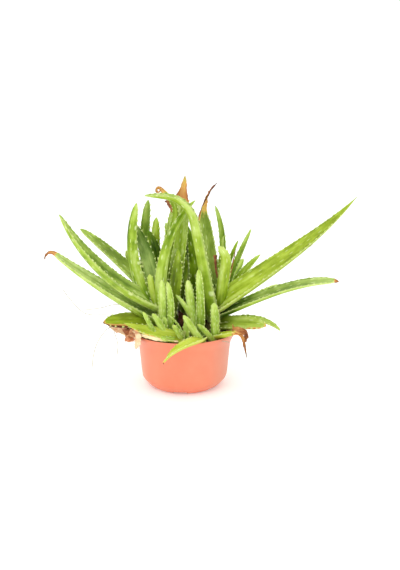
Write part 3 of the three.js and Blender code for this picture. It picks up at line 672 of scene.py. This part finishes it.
def settle(name, slot, meshes, *nodes):
    """One object from its meshes, at the origin and without the makers' working values, tied to the
    model: its body and the solids that it stands for, which are hidden. The slot is not used."""
    parts = []
    for i, mesh in enumerate(meshes):
        for spare in SPARE:
            if spare in mesh.attributes:
                mesh.attributes.remove(mesh.attributes[spare])
        parts.append(placed(name if i == 0 else f"{name}_{i}", mesh))
    if len(parts) > 1:
        with bpy.context.temp_override(object=parts[0], active_object=parts[0],
                                       selected_objects=parts, selected_editable_objects=parts):
            bpy.ops.object.join()
    piece = parts[0]
    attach(piece, "root")
    if nodes:
        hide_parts(*nodes)


# ---- finishes
def fleck_group():
    """Light dashes strewn in rows along a leaf."""
    b = new_tree("Light flecks", "Shader", {
        "Spacing Along": 13.0, "Spacing Across": 6.0, "Size": 0.2, "Sparseness": 0.3, "Scatter": 0.6,
        "Slimness": 1.8}, {"Flecks": NUMBER})
    tone = b.parts(b.attribute("tone", "Vector"))
    run = b.attribute("run")
    under = b.math("GREATER_THAN", b.attribute("belly"), 0.001)
    bend = b.noise(b.xyz(run * 0.05, tone * 9.0, under), 1.0, 1.0) - 0.5
    place = b.xyz(run / b.take("Spacing Along") + tone * 17.0 + under * 0.5,
                  (b.attribute("span") + bend * 2.0) / b.take("Spacing Across") + 0.5, 0.0)
    feeds = {"Vector": place, "Scale": 1.0, "Randomness": b.take("Scatter")}
    cells = b.shader("TexVoronoi", feeds, out="Position", voronoi_dimensions="2D")
    off = b.parts(b.vector("SUBTRACT", place, cells))
    far = b.math("SQRT", off * off + b.math("POWER", off.out("Y") * b.take("Slimness"), 2.0))
    pick = b.shader("SeparateColor", {0: cells.out("Color")})
    here = b.math("GREATER_THAN", pick, b.take("Sparseness"))
    size = b.take("Size") * (0.65 + 0.5 * pick.out("Green"))
    spot = b.ease(far / size, 0.4, 1.25, 1.0, 0.0)
    b.give("Flecks", spot * here * (0.6 + 0.4 * pick.out("Blue")))
    return b.tree


def grain_group():
    """Fine veins and broad bands that run along a leaf, and a slow cloudiness over it."""
    b = new_tree("Veins and clouds", "Shader", {"Vein Spacing": 0.8, "Cloud Size": 14.0},
                 {"Veins": NUMBER, "Clouds": NUMBER, "Bands": NUMBER})
    run = b.attribute("run")
    span = b.attribute("span")
    b.give("Veins", b.noise(b.xyz(run * 0.03, span / b.take("Vein Spacing"), 1.0), 1.0, 4.0, 0.6))
    b.give("Clouds", b.noise(b.xyz(run / b.take("Cloud Size"), span * 0.12, 5.0), 1.0, 3.0, 0.55))
    own = b.parts(b.attribute("tone", "Vector")) * 31.0
    under = b.math("GREATER_THAN", b.attribute("belly"), 0.001)
    b.give("Bands", b.noise(b.xyz(run * 0.014, span * 0.24, own + under * 4.0), 1.0, 2.0, 0.4))
    return b.tree


def dry_group():
    """The colours of a leaf that has yellowed, browned and dried to paper, from fresh to dead."""
    b = new_tree("Drying", "Shader", {"Age": 1.0, "Streaks": 0.5}, {"Colour": "NodeSocketColor"})
    age = b.math("ADD", b.take("Age"), (b.take("Streaks") - 0.5) * 0.7, clamp=True)
    b.give("Colour", b.ramp(age, [
        (0.0, (190, 196, 70)), (0.18, (228, 202, 98)), (0.4, (226, 178, 104)), (0.6, (190, 120, 66)),
        (0.8, (130, 72, 38)), (1.0, (80, 42, 24))]))
    return b.tree


FLECKS = fleck_group()
GRAIN = grain_group()
DRYING = dry_group()


class Finish(Bench):
    """A material being built, round its one shader."""

    def __init__(self, name):
        self.material = bpy.data.materials.new(name)
        self.material.use_nodes = True
        self.material.node_tree.nodes.clear()
        super().__init__(self.material.node_tree)
        self.surface = self.shader("BsdfPrincipled")
        self.shader("OutputMaterial", {"Surface": self.surface})

    def group(self, tree, feeds=None):
        return self.shader("Group", feeds, node_tree=tree)

    def object_place(self):
        return self.shader("TexCoord", out="Object")

    def coat(self, feeds, relief=None, strength=0.0, depth=0.0):
        """Feeds the shader's inputs, with a relief as bumps of this strength and depth."""
        if relief:
            bump = {"Height": relief, "Strength": strength, "Distance": depth * MM}
            feeds = {**feeds, "Normal": self.shader("Bump", bump)}
        for name, value in feeds.items():
            self.feed(self.surface.socket.node.inputs[name], value)
        return self.material


def flesh(name, greens, **fleck):
    """Juicy leaf skin: greens from deep to bright with clouds and veins, light flecks, pale margins and
    teeth, and dried ends. How deep or bright the green is carries painted light and shade, set leaf by leaf
    and along each leaf."""
    b = Finish(name)
    tone, shade = (b.parts(b.attribute(key, "Vector")) for key in ("tone", "shade"))
    share, edge, thorn = (b.attribute(key) for key in ("share", "edge", "thorn"))
    upper = b.ease(b.attribute("belly"), 0.12, 0.0)
    grain = b.group(GRAIN)
    clouds = grain.out("Clouds")
    veins = grain.out("Veins")
    light = 0.5 + (clouds - 0.5) * 0.9 + (grain.out("Bands") - 0.5) * 1.1 + (veins - 0.5) * 0.5
    # Painted light and shade: each leaf's set lightness, then a painted change towards its root, mostly
    # darker, and one over its outer part.
    light = light + tone * 0.5
    light = light + shade * b.ease(share, 0.42, 0.04) + shade.out("Y") * b.ease(share, 0.3, 0.75)
    light = b.math("ADD", light, b.ease(share, 0.7, 1.0) * 0.2 - upper * 0.1, clamp=True)
    yellow = b.math("MAXIMUM", tone.out("Y"), 0.0)
    bloom = b.math("MAXIMUM", 0.0 - tone.out("Y"), 0.0) * 0.7 + upper * shade.out("Z")
    green = b.ramp(light, list(zip((0.0, 0.28, 0.6, 1.0), greens)))
    green = b.blend(yellow * 0.6, green, (204, 208, 60))
    grey = b.blend(light, (92, 122, 40), (190, 208, 134))
    green = b.blend(b.math("ADD", bloom, 0.0, clamp=True), green, grey)
    spots = b.group(FLECKS, {key.replace("_", " ").title(): value for key, value in fleck.items()})
    spots = spots * tone.out("Z") * b.ease(share, 0.99, 0.88)
    margin = b.math("MAXIMUM", b.ease(edge, 0.965, 1.0) * 0.45, b.math("GREATER_THAN", thorn, 0.001) * 0.75)
    skin = green
    for cover, tint in (
            (spots * 0.8, (226, 238, 172)), (margin, (218, 232, 150)),
            (b.ease(thorn, 0.7, 1.0) * 0.3, (208, 170, 100)),
            (b.ease(share, 0.07, 0.0) * 0.5, (204, 206, 140))):
        skin = b.blend(cover, skin, tint)
    age = b.attribute("age") * (0.85 + 0.3 * b.ease(edge, 0.5, 1.0))
    dead = b.math("MAXIMUM", age, b.attribute("scorched"))
    patch = b.ease(dead + (clouds - 0.5) * 0.5 + (veins - 0.5) * 0.3, 0.12, 0.3)
    patch = patch * b.ease(dead, 0.0, 0.08)
    dried = b.group(DRYING, {"Age": dead, "Streaks": veins * 0.6 + clouds * 0.4})
    return b.coat({
        "Base Color": b.blend(patch, skin, dried),
        "Roughness": 0.4 + (clouds - 0.5) * 0.2 + patch * 0.4 + spots * 0.1,
        "Subsurface Weight": 0.12, "Subsurface Radius": (0.5, 1.0, 0.2), "Subsurface Scale": 0.003,
        "Specular IOR Level": 0.2,
    }, veins * 0.5 + spots * 0.35 + patch * (veins + clouds) * 2.0, 0.35, 0.6)


def dry_paper(name, stops=None):
    """Leaves that have dried right through. With stops of its own, it is bleached instead of brown."""
    b = Finish(name)
    grain = b.group(GRAIN, {"Vein Spacing": 0.5, "Cloud Size": 6.0})
    veins = grain.out("Veins")
    clouds = grain.out("Clouds")
    age = 0.3 + b.attribute("age") * 0.45 + (clouds - 0.5) * 0.9
    colour = (b.ramp(age + (veins - 0.5) * 0.5, stops) if stops
              else b.group(DRYING, {"Age": age, "Streaks": veins}))
    return b.coat({"Base Color": colour, "Roughness": 0.62 + clouds * 0.25}, veins + clouds, 0.6, 0.8)


def pot_plastic():
    """Terracotta-coloured plastic, faintly clouded, with painted light at its left side and painted shade and
    sheen at its right, dusty at the foot and scuffed.
    """
    b = Finish("Terracotta plastic")
    place = b.object_place()
    across = b.parts(place)
    clouds = b.noise(place, 22.0, 4.0, 0.55)
    mould = b.noise(b.vector("MULTIPLY", place, (8.0, 8.0, 420.0)), 1.0, 2.0)
    scuffs = b.ease(b.noise(b.vector("MULTIPLY", place, (60.0, 60.0, 240.0)), 3.0, 6.0, 0.7), 0.62, 0.74)
    dust = b.ease(b.noise(place, 90.0, 5.0, 0.65), 0.45, 0.8) * b.ease(across.out("Z"), 0.02, 0.0, 0.15, 1.0)
    side = across + (clouds - 0.5) * 0.02
    colour = b.blend(b.math("ADD", 0.5, (clouds - 0.5) * 1.6, clamp=True), (222, 120, 86), (238, 140, 106))
    # The first two covers are painted: painted shade and sheen on the right side, painted light on the left.
    for cover, tint in (
            (b.ease(side, 0.022, 0.056) * 0.62, (206, 142, 118)),
            (b.ease(side, -0.036, -0.058) * 0.4, (240, 168, 138)),
            (scuffs * 0.22, (246, 176, 150)), (dust * 0.3, (214, 170, 146))):
        colour = b.blend(cover, colour, tint)
    rough = 0.4 + (clouds - 0.5) * 0.25 + scuffs * 0.2 + dust * 0.25
    relief = mould * 0.35 + b.noise(place, 900.0, 2.0) * 0.3 - scuffs * 0.4
    return b.coat({"Base Color": colour, "Roughness": rough}, relief, 0.2, 0.3)


def crumbly(name, dark, middle, light, scale):
    """Soil, bark or stem: broken browns with a rough relief."""
    b = Finish(name)
    place = b.object_place()
    big = b.noise(place, scale, 4.0, 0.6)
    fine = b.noise(place, scale * 6.0, 4.0, 0.7)
    grit = b.ease(b.math("ADD", big * 0.5, fine * 0.5), 0.3, 0.7)
    return b.coat({
        "Base Color": b.ramp(grit, [(0.0, dark), (0.5, middle), (1.0, light)]),
        "Roughness": 0.8 + (fine - 0.5) * 0.3}, big + fine, 0.7, 1.0)


LEAF = flesh("Aloe leaf", [(56, 86, 0), (110, 142, 14), (160, 188, 58), (206, 224, 132)],
             size=0.22, spacing_along=13.0, spacing_across=5.2, sparseness=0.34, slimness=1.7)
OFFSHOOT = flesh("Aloe offshoot leaf", [(84, 118, 14), (134, 166, 46), (180, 206, 90), (214, 230, 146)],
                 size=0.42, spacing_along=5.0, spacing_across=2.6, sparseness=0.4, scatter=1.0, slimness=1.1)
DRIED = dry_paper("Dried leaf")
BLEACHED = dry_paper("Bleached leaf", [
    (0.0, (250, 238, 196)), (0.34, (244, 212, 170)), (0.52, (228, 168, 126)), (0.72, (166, 98, 60)),
    (1.0, (92, 52, 32))])
PLASTIC = pot_plastic()
SOIL = crumbly("Potting soil", (26, 18, 12), (58, 42, 28), (110, 84, 58), 260.0)
BARK = crumbly("Bark chips", (96, 62, 38), (176, 130, 86), (232, 200, 150), 300.0)
FIBRE = crumbly("Dry fibre", (140, 130, 100), (182, 174, 146), (212, 206, 184), 300.0)
STEM = crumbly("Stem bark", (92, 70, 40), (150, 128, 78), (196, 180, 122), 180.0)


# ---- leaves
LEAF_TREE = leaf_tree()
VECTORS = ("at", "along", "face", "across", "tone", "shade")
NUMBERS = ("half", "thick", "hollow", "bead", "run", "share", "withered", "age", "scorch", "tooth_right",
           "tooth_left")


def smooth(value, low, high):
    t = min(1.0, max(0.0, (value - low) / (high - low)))
    return t * t * (3 - 2 * t)


def mix(a, b, t):
    return a + (b - a) * t


def soil_height(x, y):
    """The soil's height at a place, in millimetres."""
    out = min(1.0, math.hypot(x, y) / SHOULDER_RADIUS)
    lumps = math.sin(x * 0.31 + 1.3) * math.cos(y * 0.27) + math.sin(x * 0.13 - y * 0.19)
    return SOIL_LEVEL + SOIL_MOUND * (1 - out * out) + 0.5 * lumps * (1 - out)


def heading(leaf, s):
    """The way that the leaf runs at the share s of its length, and the way that its upper face looks."""
    dry = leaf["dry"]
    withered = (s - dry) / (1 - dry) if s > dry else 0
    bent = smooth(s, *leaf["knee"]) if leaf["knee"] else s ** leaf["late"]
    curl = leaf["curl"] * withered ** 0.8 + leaf["coil"] * withered ** 2
    rise = math.radians(leaf["rise"] + leaf["bend"] * bent + curl)
    az = math.radians(leaf["az"] + leaf["sweep"] * s)
    along = Vector((math.cos(rise) * math.cos(az), math.cos(rise) * math.sin(az), math.sin(rise)))
    face = Vector((-math.sin(rise) * math.cos(az), -math.sin(rise) * math.sin(az), math.cos(rise)))
    roll = leaf["roll"] + leaf["twist"] * withered
    return along, Matrix.Rotation(math.radians(roll), 3, along) @ face


def wobble(distance, seed):
    """A slow irregular swing between -1 and 1 along a leaf, for an edge that has dried unevenly."""
    return (math.sin(distance * 0.53 + seed) + math.sin(distance * 1.07 + seed * 2.3)) / 2


def rail_of(name, leaf, root, seed):
    """A line of points along the middle of a leaf, each with the leaf's size and state there."""
    chance = random.Random(seed)
    shift = 40 * random.Random(seed * 7 + 1).random()
    long, wide, dry, blunt = (leaf[key] for key in ("long", "wide", "dry", "blunt"))
    age_there, age_at_tip = leaf["ages"]
    steps = max(12, round(long / RING_PITCH))
    pitch = TOOTH_PITCH * (0.75 if leaf["young"] else 1)
    at = Vector(root)
    rows = []
    last = 0.0
    tooth_at = pitch * (0.4 + 0.5 * chance.random())
    for i in range(steps + 1):
        s = 1 - (1 - i / steps) ** 1.25
        if i:
            at = at + heading(leaf, (s + last) / 2)[0] * long * (s - last)
        last = s
        along, face = heading(leaf, s)
        withered = smooth(s, dry - 0.06, dry + 0.08)
        point = max(0.0, 1 - s ** (2 + 2 * blunt)) ** max(0.5, 1 - 0.45 * blunt)
        taper = mix(1, leaf["slim"], s) * point
        neck = mix(leaf["neck"], 1, smooth(s, 0, 0.35))
        half = wide / 2 * taper * neck * (1 - 0.4 * withered)
        fleshy = 0.42 * half + 0.16 * wide * (1 - s)
        thick = mix(max(fleshy, 1.0 * taper + 0.3), DRY_THICKNESS * 0.6, withered)
        hollow = leaf["channel"] * mix(1, 0.45, smooth(s, 0.5, 1)) * half + 0.5 * withered * half
        half *= leaf["full"] * (1 + leaf["ragged"] * withered * wobble(s * long, seed))
        fading = age_there * smooth(s, dry - leaf["wilt"], dry)
        age = fading + (age_at_tip - age_there) * smooth(s, dry, 1) if dry < 1 else 0.0
        row = dict(
            at=at * MM, along=along, face=face, across=along.cross(face), tone=leaf["tone"],
            shade=leaf["shade"], half=max(half, 0.35) * MM, thick=thick * MM, hollow=hollow * MM,
            bead=min(0.4, 0.05 * half) * MM, run=s * long + shift, share=s, withered=withered, age=age,
            scorch=leaf["scorch"] * smooth(s, *leaf["scorch_from"]), tooth_right=0.0, tooth_left=0.0)
        if s * long >= tooth_at and wide > 6 and 0.04 < s < min(0.97, dry):
            tooth_at += pitch * (0.85 + 0.3 * chance.random())
            size = min(1.0, half / 5 + 0.15)
            for tooth in ("tooth_right", "tooth_left"):
                row[tooth] = size * (0.75 + 0.5 * chance.random())
        rows.append(row)
    ends = dict.fromkeys(("half", "thick", "hollow", "bead", "tooth_right", "tooth_left"), 0.0)
    rows = [{**rows[0], **ends}, *rows, {**rows[-1], **ends}]
    mesh = meshed(name + "_rail", [row["at"] for row in rows], [(i, i + 1) for i in range(len(rows) - 1)])
    for key in VECTORS:
        values = mesh.attributes.new(key, "FLOAT_VECTOR", "POINT")
        values.data.foreach_set("vector", [v for row in rows for v in row[key]])
    for key in NUMBERS:
        values = mesh.attributes.new(key, "FLOAT", "POINT")
        values.data.foreach_set("value", [row[key] for row in rows])
    return mesh


def blade_mesh(name, leaf, root, seed, finish, around, **values):
    """The mesh of a leaf that springs from a root, with values for the tree's other inputs."""
    return grown(name, rail_of(name, leaf, root, seed), LEAF_TREE, points_around=around,
                 crumple=leaf["crumple"] * MM, seed=float(seed), finish=finish, **values)


def leaf_mesh(name, at, leaf, seed, finish, around=LEAF_SIDES):
    """A toothed leaf of a plant or an offshoot that stands at a place."""
    x, y = at
    side = math.radians(leaf["side"])
    root = (x + leaf["out"] * math.cos(side), y + leaf["out"] * math.sin(side),
            soil_height(x, y) + leaf["up"])
    young = leaf["young"]
    return blade_mesh(name, leaf, root, seed, finish, around, unevenness=0.00022,
                      tooth_height=TOOTH_LENGTH * MM * (0.8 if young else 1),
                      tooth_width=TOOTH_WIDTH * MM * (0.85 if young else 1))


def stub_mesh(name, plant, finish, seed):
    """The short stem that carries a plant's leaves, ringed with the scars of fallen ones."""
    x, y = plant["at"]
    base = soil_height(x, y)
    top = base + plant.get("top", 3)
    radius = plant["radius"]
    low = base - radius * 1.8
    rings = []
    for i in range(STUB_STEPS + 1):
        height = low + (top - low) * i / STUB_STEPS
        if height > base:
            wide = mix(radius, radius * 0.75, smooth(height, base + 1, top))
        else:
            wide = mix(radius * 0.7, radius, (height - low) / (base - low))
        ripple = 1 + 0.03 * math.sin(height * 1.9 + seed)
        ring = []
        for j in range(STUB_SIDES):
            turn = math.tau * j / STUB_SIDES
            out = wide * (ripple + 0.04 * math.sin(3 * turn + height * 0.4 + seed))
            ring.append(Vector((x + out * math.cos(turn), y + out * math.sin(turn), height)) * MM)
        rings.append(ring)
    mesh = skinned(name, rings, flat=False)
    mesh.materials.append(finish)
    return mesh


DRY_NAMES = ("withered", "thread")
seed = FIRST_SEED
for plant in PLANTS:
    stem = plant["name"] + "_stem"
    settle(stem + "_bark", "stem", [stub_mesh(stem, plant, STEM, seed)], stem)
    for row in plant["leaves"]:
        seed += 1
        node = f"{plant['name']}_leaf_{row['name']}"
        finish = DRIED if row["name"] == "dry_thread" else LEAF
        slot = "withered_leaf" if any(word in node for word in DRY_NAMES) else "leaf"
        settle(node + "_blade", slot, [leaf_mesh(node, plant["at"], row, seed, finish)], node)

for shoot in OFFSHOOTS:
    node = "offshoot_" + shoot["name"]
    meshes = [stub_mesh(node, shoot, OFFSHOOT, seed)]
    for row in shoot["leaves"]:
        seed += 1
        meshes.append(leaf_mesh(node, shoot["at"], row, seed, OFFSHOOT, SMALL_LEAF_SIDES))
    settle(node + "_leaves", "offshoot", meshes, node)
    if "old" in shoot:
        seed += 1
        mesh = leaf_mesh(node + "_old", shoot["at"], shoot["old"], seed, LEAF)
        settle(node + "_old_blade", "leaf", [mesh], node + "_old_leaf")

for row in SCRAPS:
    seed += 1
    paper = LEAF if row["dry"] == 1 else DRIED if min(row["ages"]) > 0.6 else BLEACHED
    mesh = blade_mesh(row["name"], row, row["root"], seed, paper, SMALL_LEAF_SIDES, unevenness=0.0002,
                      tooth_height=0.0, tooth_width=0.0)
    settle(row["name"] + "_paper", "withered_leaf", [mesh])


def fibre_lines():
    """Smooth lines through each fibre's points."""
    points, edges = [], []
    for line in FIBRES:
        stops = [Vector(p) for p in line]
        stops = [stops[0] * 2 - stops[1], *stops, stops[-1] * 2 - stops[-2]]
        for i in range(1, len(stops) - 2):
            a, b, c, d = stops[i - 1:i + 3]
            for j in range(FIBRE_STEPS + (i == len(stops) - 3)):
                t = j / FIBRE_STEPS
                points.append((b * 2 + (c - a) * t + (a * 2 - b * 5 + c * 4 - d) * t * t
                               + (b * 3 - a - c * 3 + d) * t ** 3) * 0.5 * MM)
                if i > 1 or j:
                    edges.append((len(points) - 2, len(points) - 1))
    return meshed("fibre_lines", points, edges)


fibres = grown("dry_fibres", fibre_lines(), fibre_tree(), radius=FIBRE_RADIUS * MM, finish=FIBRE)
settle("dry_fibres", "withered_leaf", [fibres])


# ---- the pot
def rounded(corners, radius, points):
    """A closed outline with each corner rounded off."""
    outline = []
    for i, corner in enumerate(corners):
        here = Vector(corner)
        before = Vector(corners[i - 1]) - here
        after = Vector(corners[(i + 1) % len(corners)]) - here
        start = here + before.normalized() * min(radius, before.length * 0.48)
        end = here + after.normalized() * min(radius, after.length * 0.48)
        for j in range(points + 1):
            t = j / points
            outline.append(start * (1 - t) ** 2 + here * 2 * t * (1 - t) + end * t * t)
    return outline


def pot_outline():
    """The wall's outline in millimetres, from the foot up the outside and down the inside."""
    return rounded([
        (FOOT_RADIUS + 2.5, 1.4), (FOOT_RADIUS + 6.5, 5), (HEEL_RADIUS - 1.5, 10),
        (HEEL_RADIUS, HEEL_HEIGHT), (SHOULDER_RADIUS, SHOULDER_HEIGHT),
        (SHOULDER_RADIUS + 2.2, SHOULDER_HEIGHT + 5.5), (RIM_RADIUS - 0.6, POT_HEIGHT - 3),
        (RIM_RADIUS - 0.2, POT_HEIGHT), (RIM_RADIUS - POT_WALL, POT_HEIGHT),
        (SHOULDER_RADIUS - POT_WALL + 0.6, SHOULDER_HEIGHT + 4.5),
        (SHOULDER_RADIUS - POT_WALL, SHOULDER_HEIGHT), (HEEL_RADIUS - POT_WALL, HEEL_HEIGHT),
        (FOOT_RADIUS + 1, FOOT_HEIGHT + POT_WALL), (AXIS_GAP, FOOT_HEIGHT + POT_WALL),
        (AXIS_GAP, FOOT_HEIGHT), (FOOT_INNER_RADIUS + 0.6, FOOT_HEIGHT), (FOOT_INNER_RADIUS + 1.2, 0),
        (FOOT_RADIUS - 1, 0),
    ], CORNER_RADIUS, 6)


outline = [(0.0 if p.x <= AXIS_GAP + 1e-6 else p.x * MM, 0, p.y * MM) for p in pot_outline()]
shell = grown("pot_shell", meshed("pot_outline", outline), pot_tree(), finish=PLASTIC)
settle("pot_shell", "pot", [shell], "pot")


# ---- the soil
def soil_ground():
    """The soil's body: a mound with a level edge, closed underneath."""
    inset = POT_WALL + CLEARANCE
    top = SHOULDER_RADIUS - POT_WALL + 0.9
    side = [(FOOT_RADIUS + 0.5, FOOT_HEIGHT + POT_WALL + CLEARANCE),
            (HEEL_RADIUS - inset, HEEL_HEIGHT + CLEARANCE), (SHOULDER_RADIUS - inset, SHOULDER_HEIGHT),
            (top, SOIL_LEVEL - 1)]
    mound = [(top * (1 - i / SOIL_RINGS), None) for i in range(SOIL_RINGS)]
    rings = []
    for radius, height in side + mound:
        ring = []
        for j in range(SOIL_SIDES):
            turn = math.tau * j / SOIL_SIDES
            x, y = radius * math.cos(turn), radius * math.sin(turn)
            z = soil_height(x, y) if height is None else height
            ring.append((x * MM, y * MM, z * MM))
        rings.append(ring)
    return skinned("soil_ground", rings, (0, 0, soil_height(0, 0) * MM))


CRUMBS = crumb_tree()
ground = soil_ground()
soil = grown("soil_crumbs", ground, CRUMBS, density=260000.0, smallest=0.0005, largest=0.0018,
             flatness=0.75, seed=3, finish=SOIL)
settle("soil_crumbs", "soil", [soil], "soil")
chips = grown("bark_chips", ground, CRUMBS, density=9000.0, smallest=0.0012, largest=0.004, flatness=0.35,
              seed=9, keep_ground=False, finish=BARK)
settle("bark_chips", "soil", [chips])

# ---- stage, light and camera
pale = Finish("Pale floor")
pale.coat({
    "Base Color": pale.ramp(pale.noise(pale.object_place(), 2.0), [
        (0.0, (0.985, 0.985, 0.985, 1)), (1.0, (0.995, 0.995, 0.995, 1))]),
    "Roughness": 0.7, "Specular IOR Level": 0.2, "Emission Color": (1, 1, 1, 1), "Emission Strength": 0.16})
corners = [(x * FLOOR_REACH, y * FLOOR_REACH, 0) for x, y in ((-1, -1), (1, -1), (1, 1), (-1, 1))]
floor = placed("floor", meshed("floor", corners, faces=[(0, 1, 2, 3)]))
floor.data.materials.append(pale.material)

scene.world = bpy.data.worlds.new("Studio")
scene.world.use_nodes = True
sky = Bench(scene.world.node_tree)
back = sky.tree.nodes["Background"]
sky.feed(back.inputs["Color"], (1, 1, 1, 1))
sky.feed(back.inputs["Strength"], 1.06 + sky.shader("LightPath", out="Is Camera Ray") * 0.06)


def turned_to(name, data, place, target):
    """A lamp or camera at a place, turned to look at its target."""
    thing = placed(name, data)
    thing.location = place
    thing.rotation_euler = (Vector(target) - Vector(place)).to_track_quat("-Z", "Y").to_euler()
    return thing


def softbox(name, place, size, power):
    light = bpy.data.lights.new(name, "AREA")
    light.shape = "RECTANGLE"
    light.size = light.size_y = size
    light.energy = power
    turned_to(name, light, place, (0, 0, 0.1))


softbox("key_softbox", (-0.8, -1.1, 1.4), 1.6, 8.5)
softbox("top_softbox", (0.2, 0.3, 1.8), 1.2, 5.5)

camera = bpy.data.cameras.new("camera")
camera.lens = 42.19
camera.sensor_width = 36
camera.dof.use_dof = False
scene.camera = turned_to("camera", camera, (0, -0.76, 0.28), (0.0183, 0, 0.119))
scene.view_settings.view_transform = "Standard"
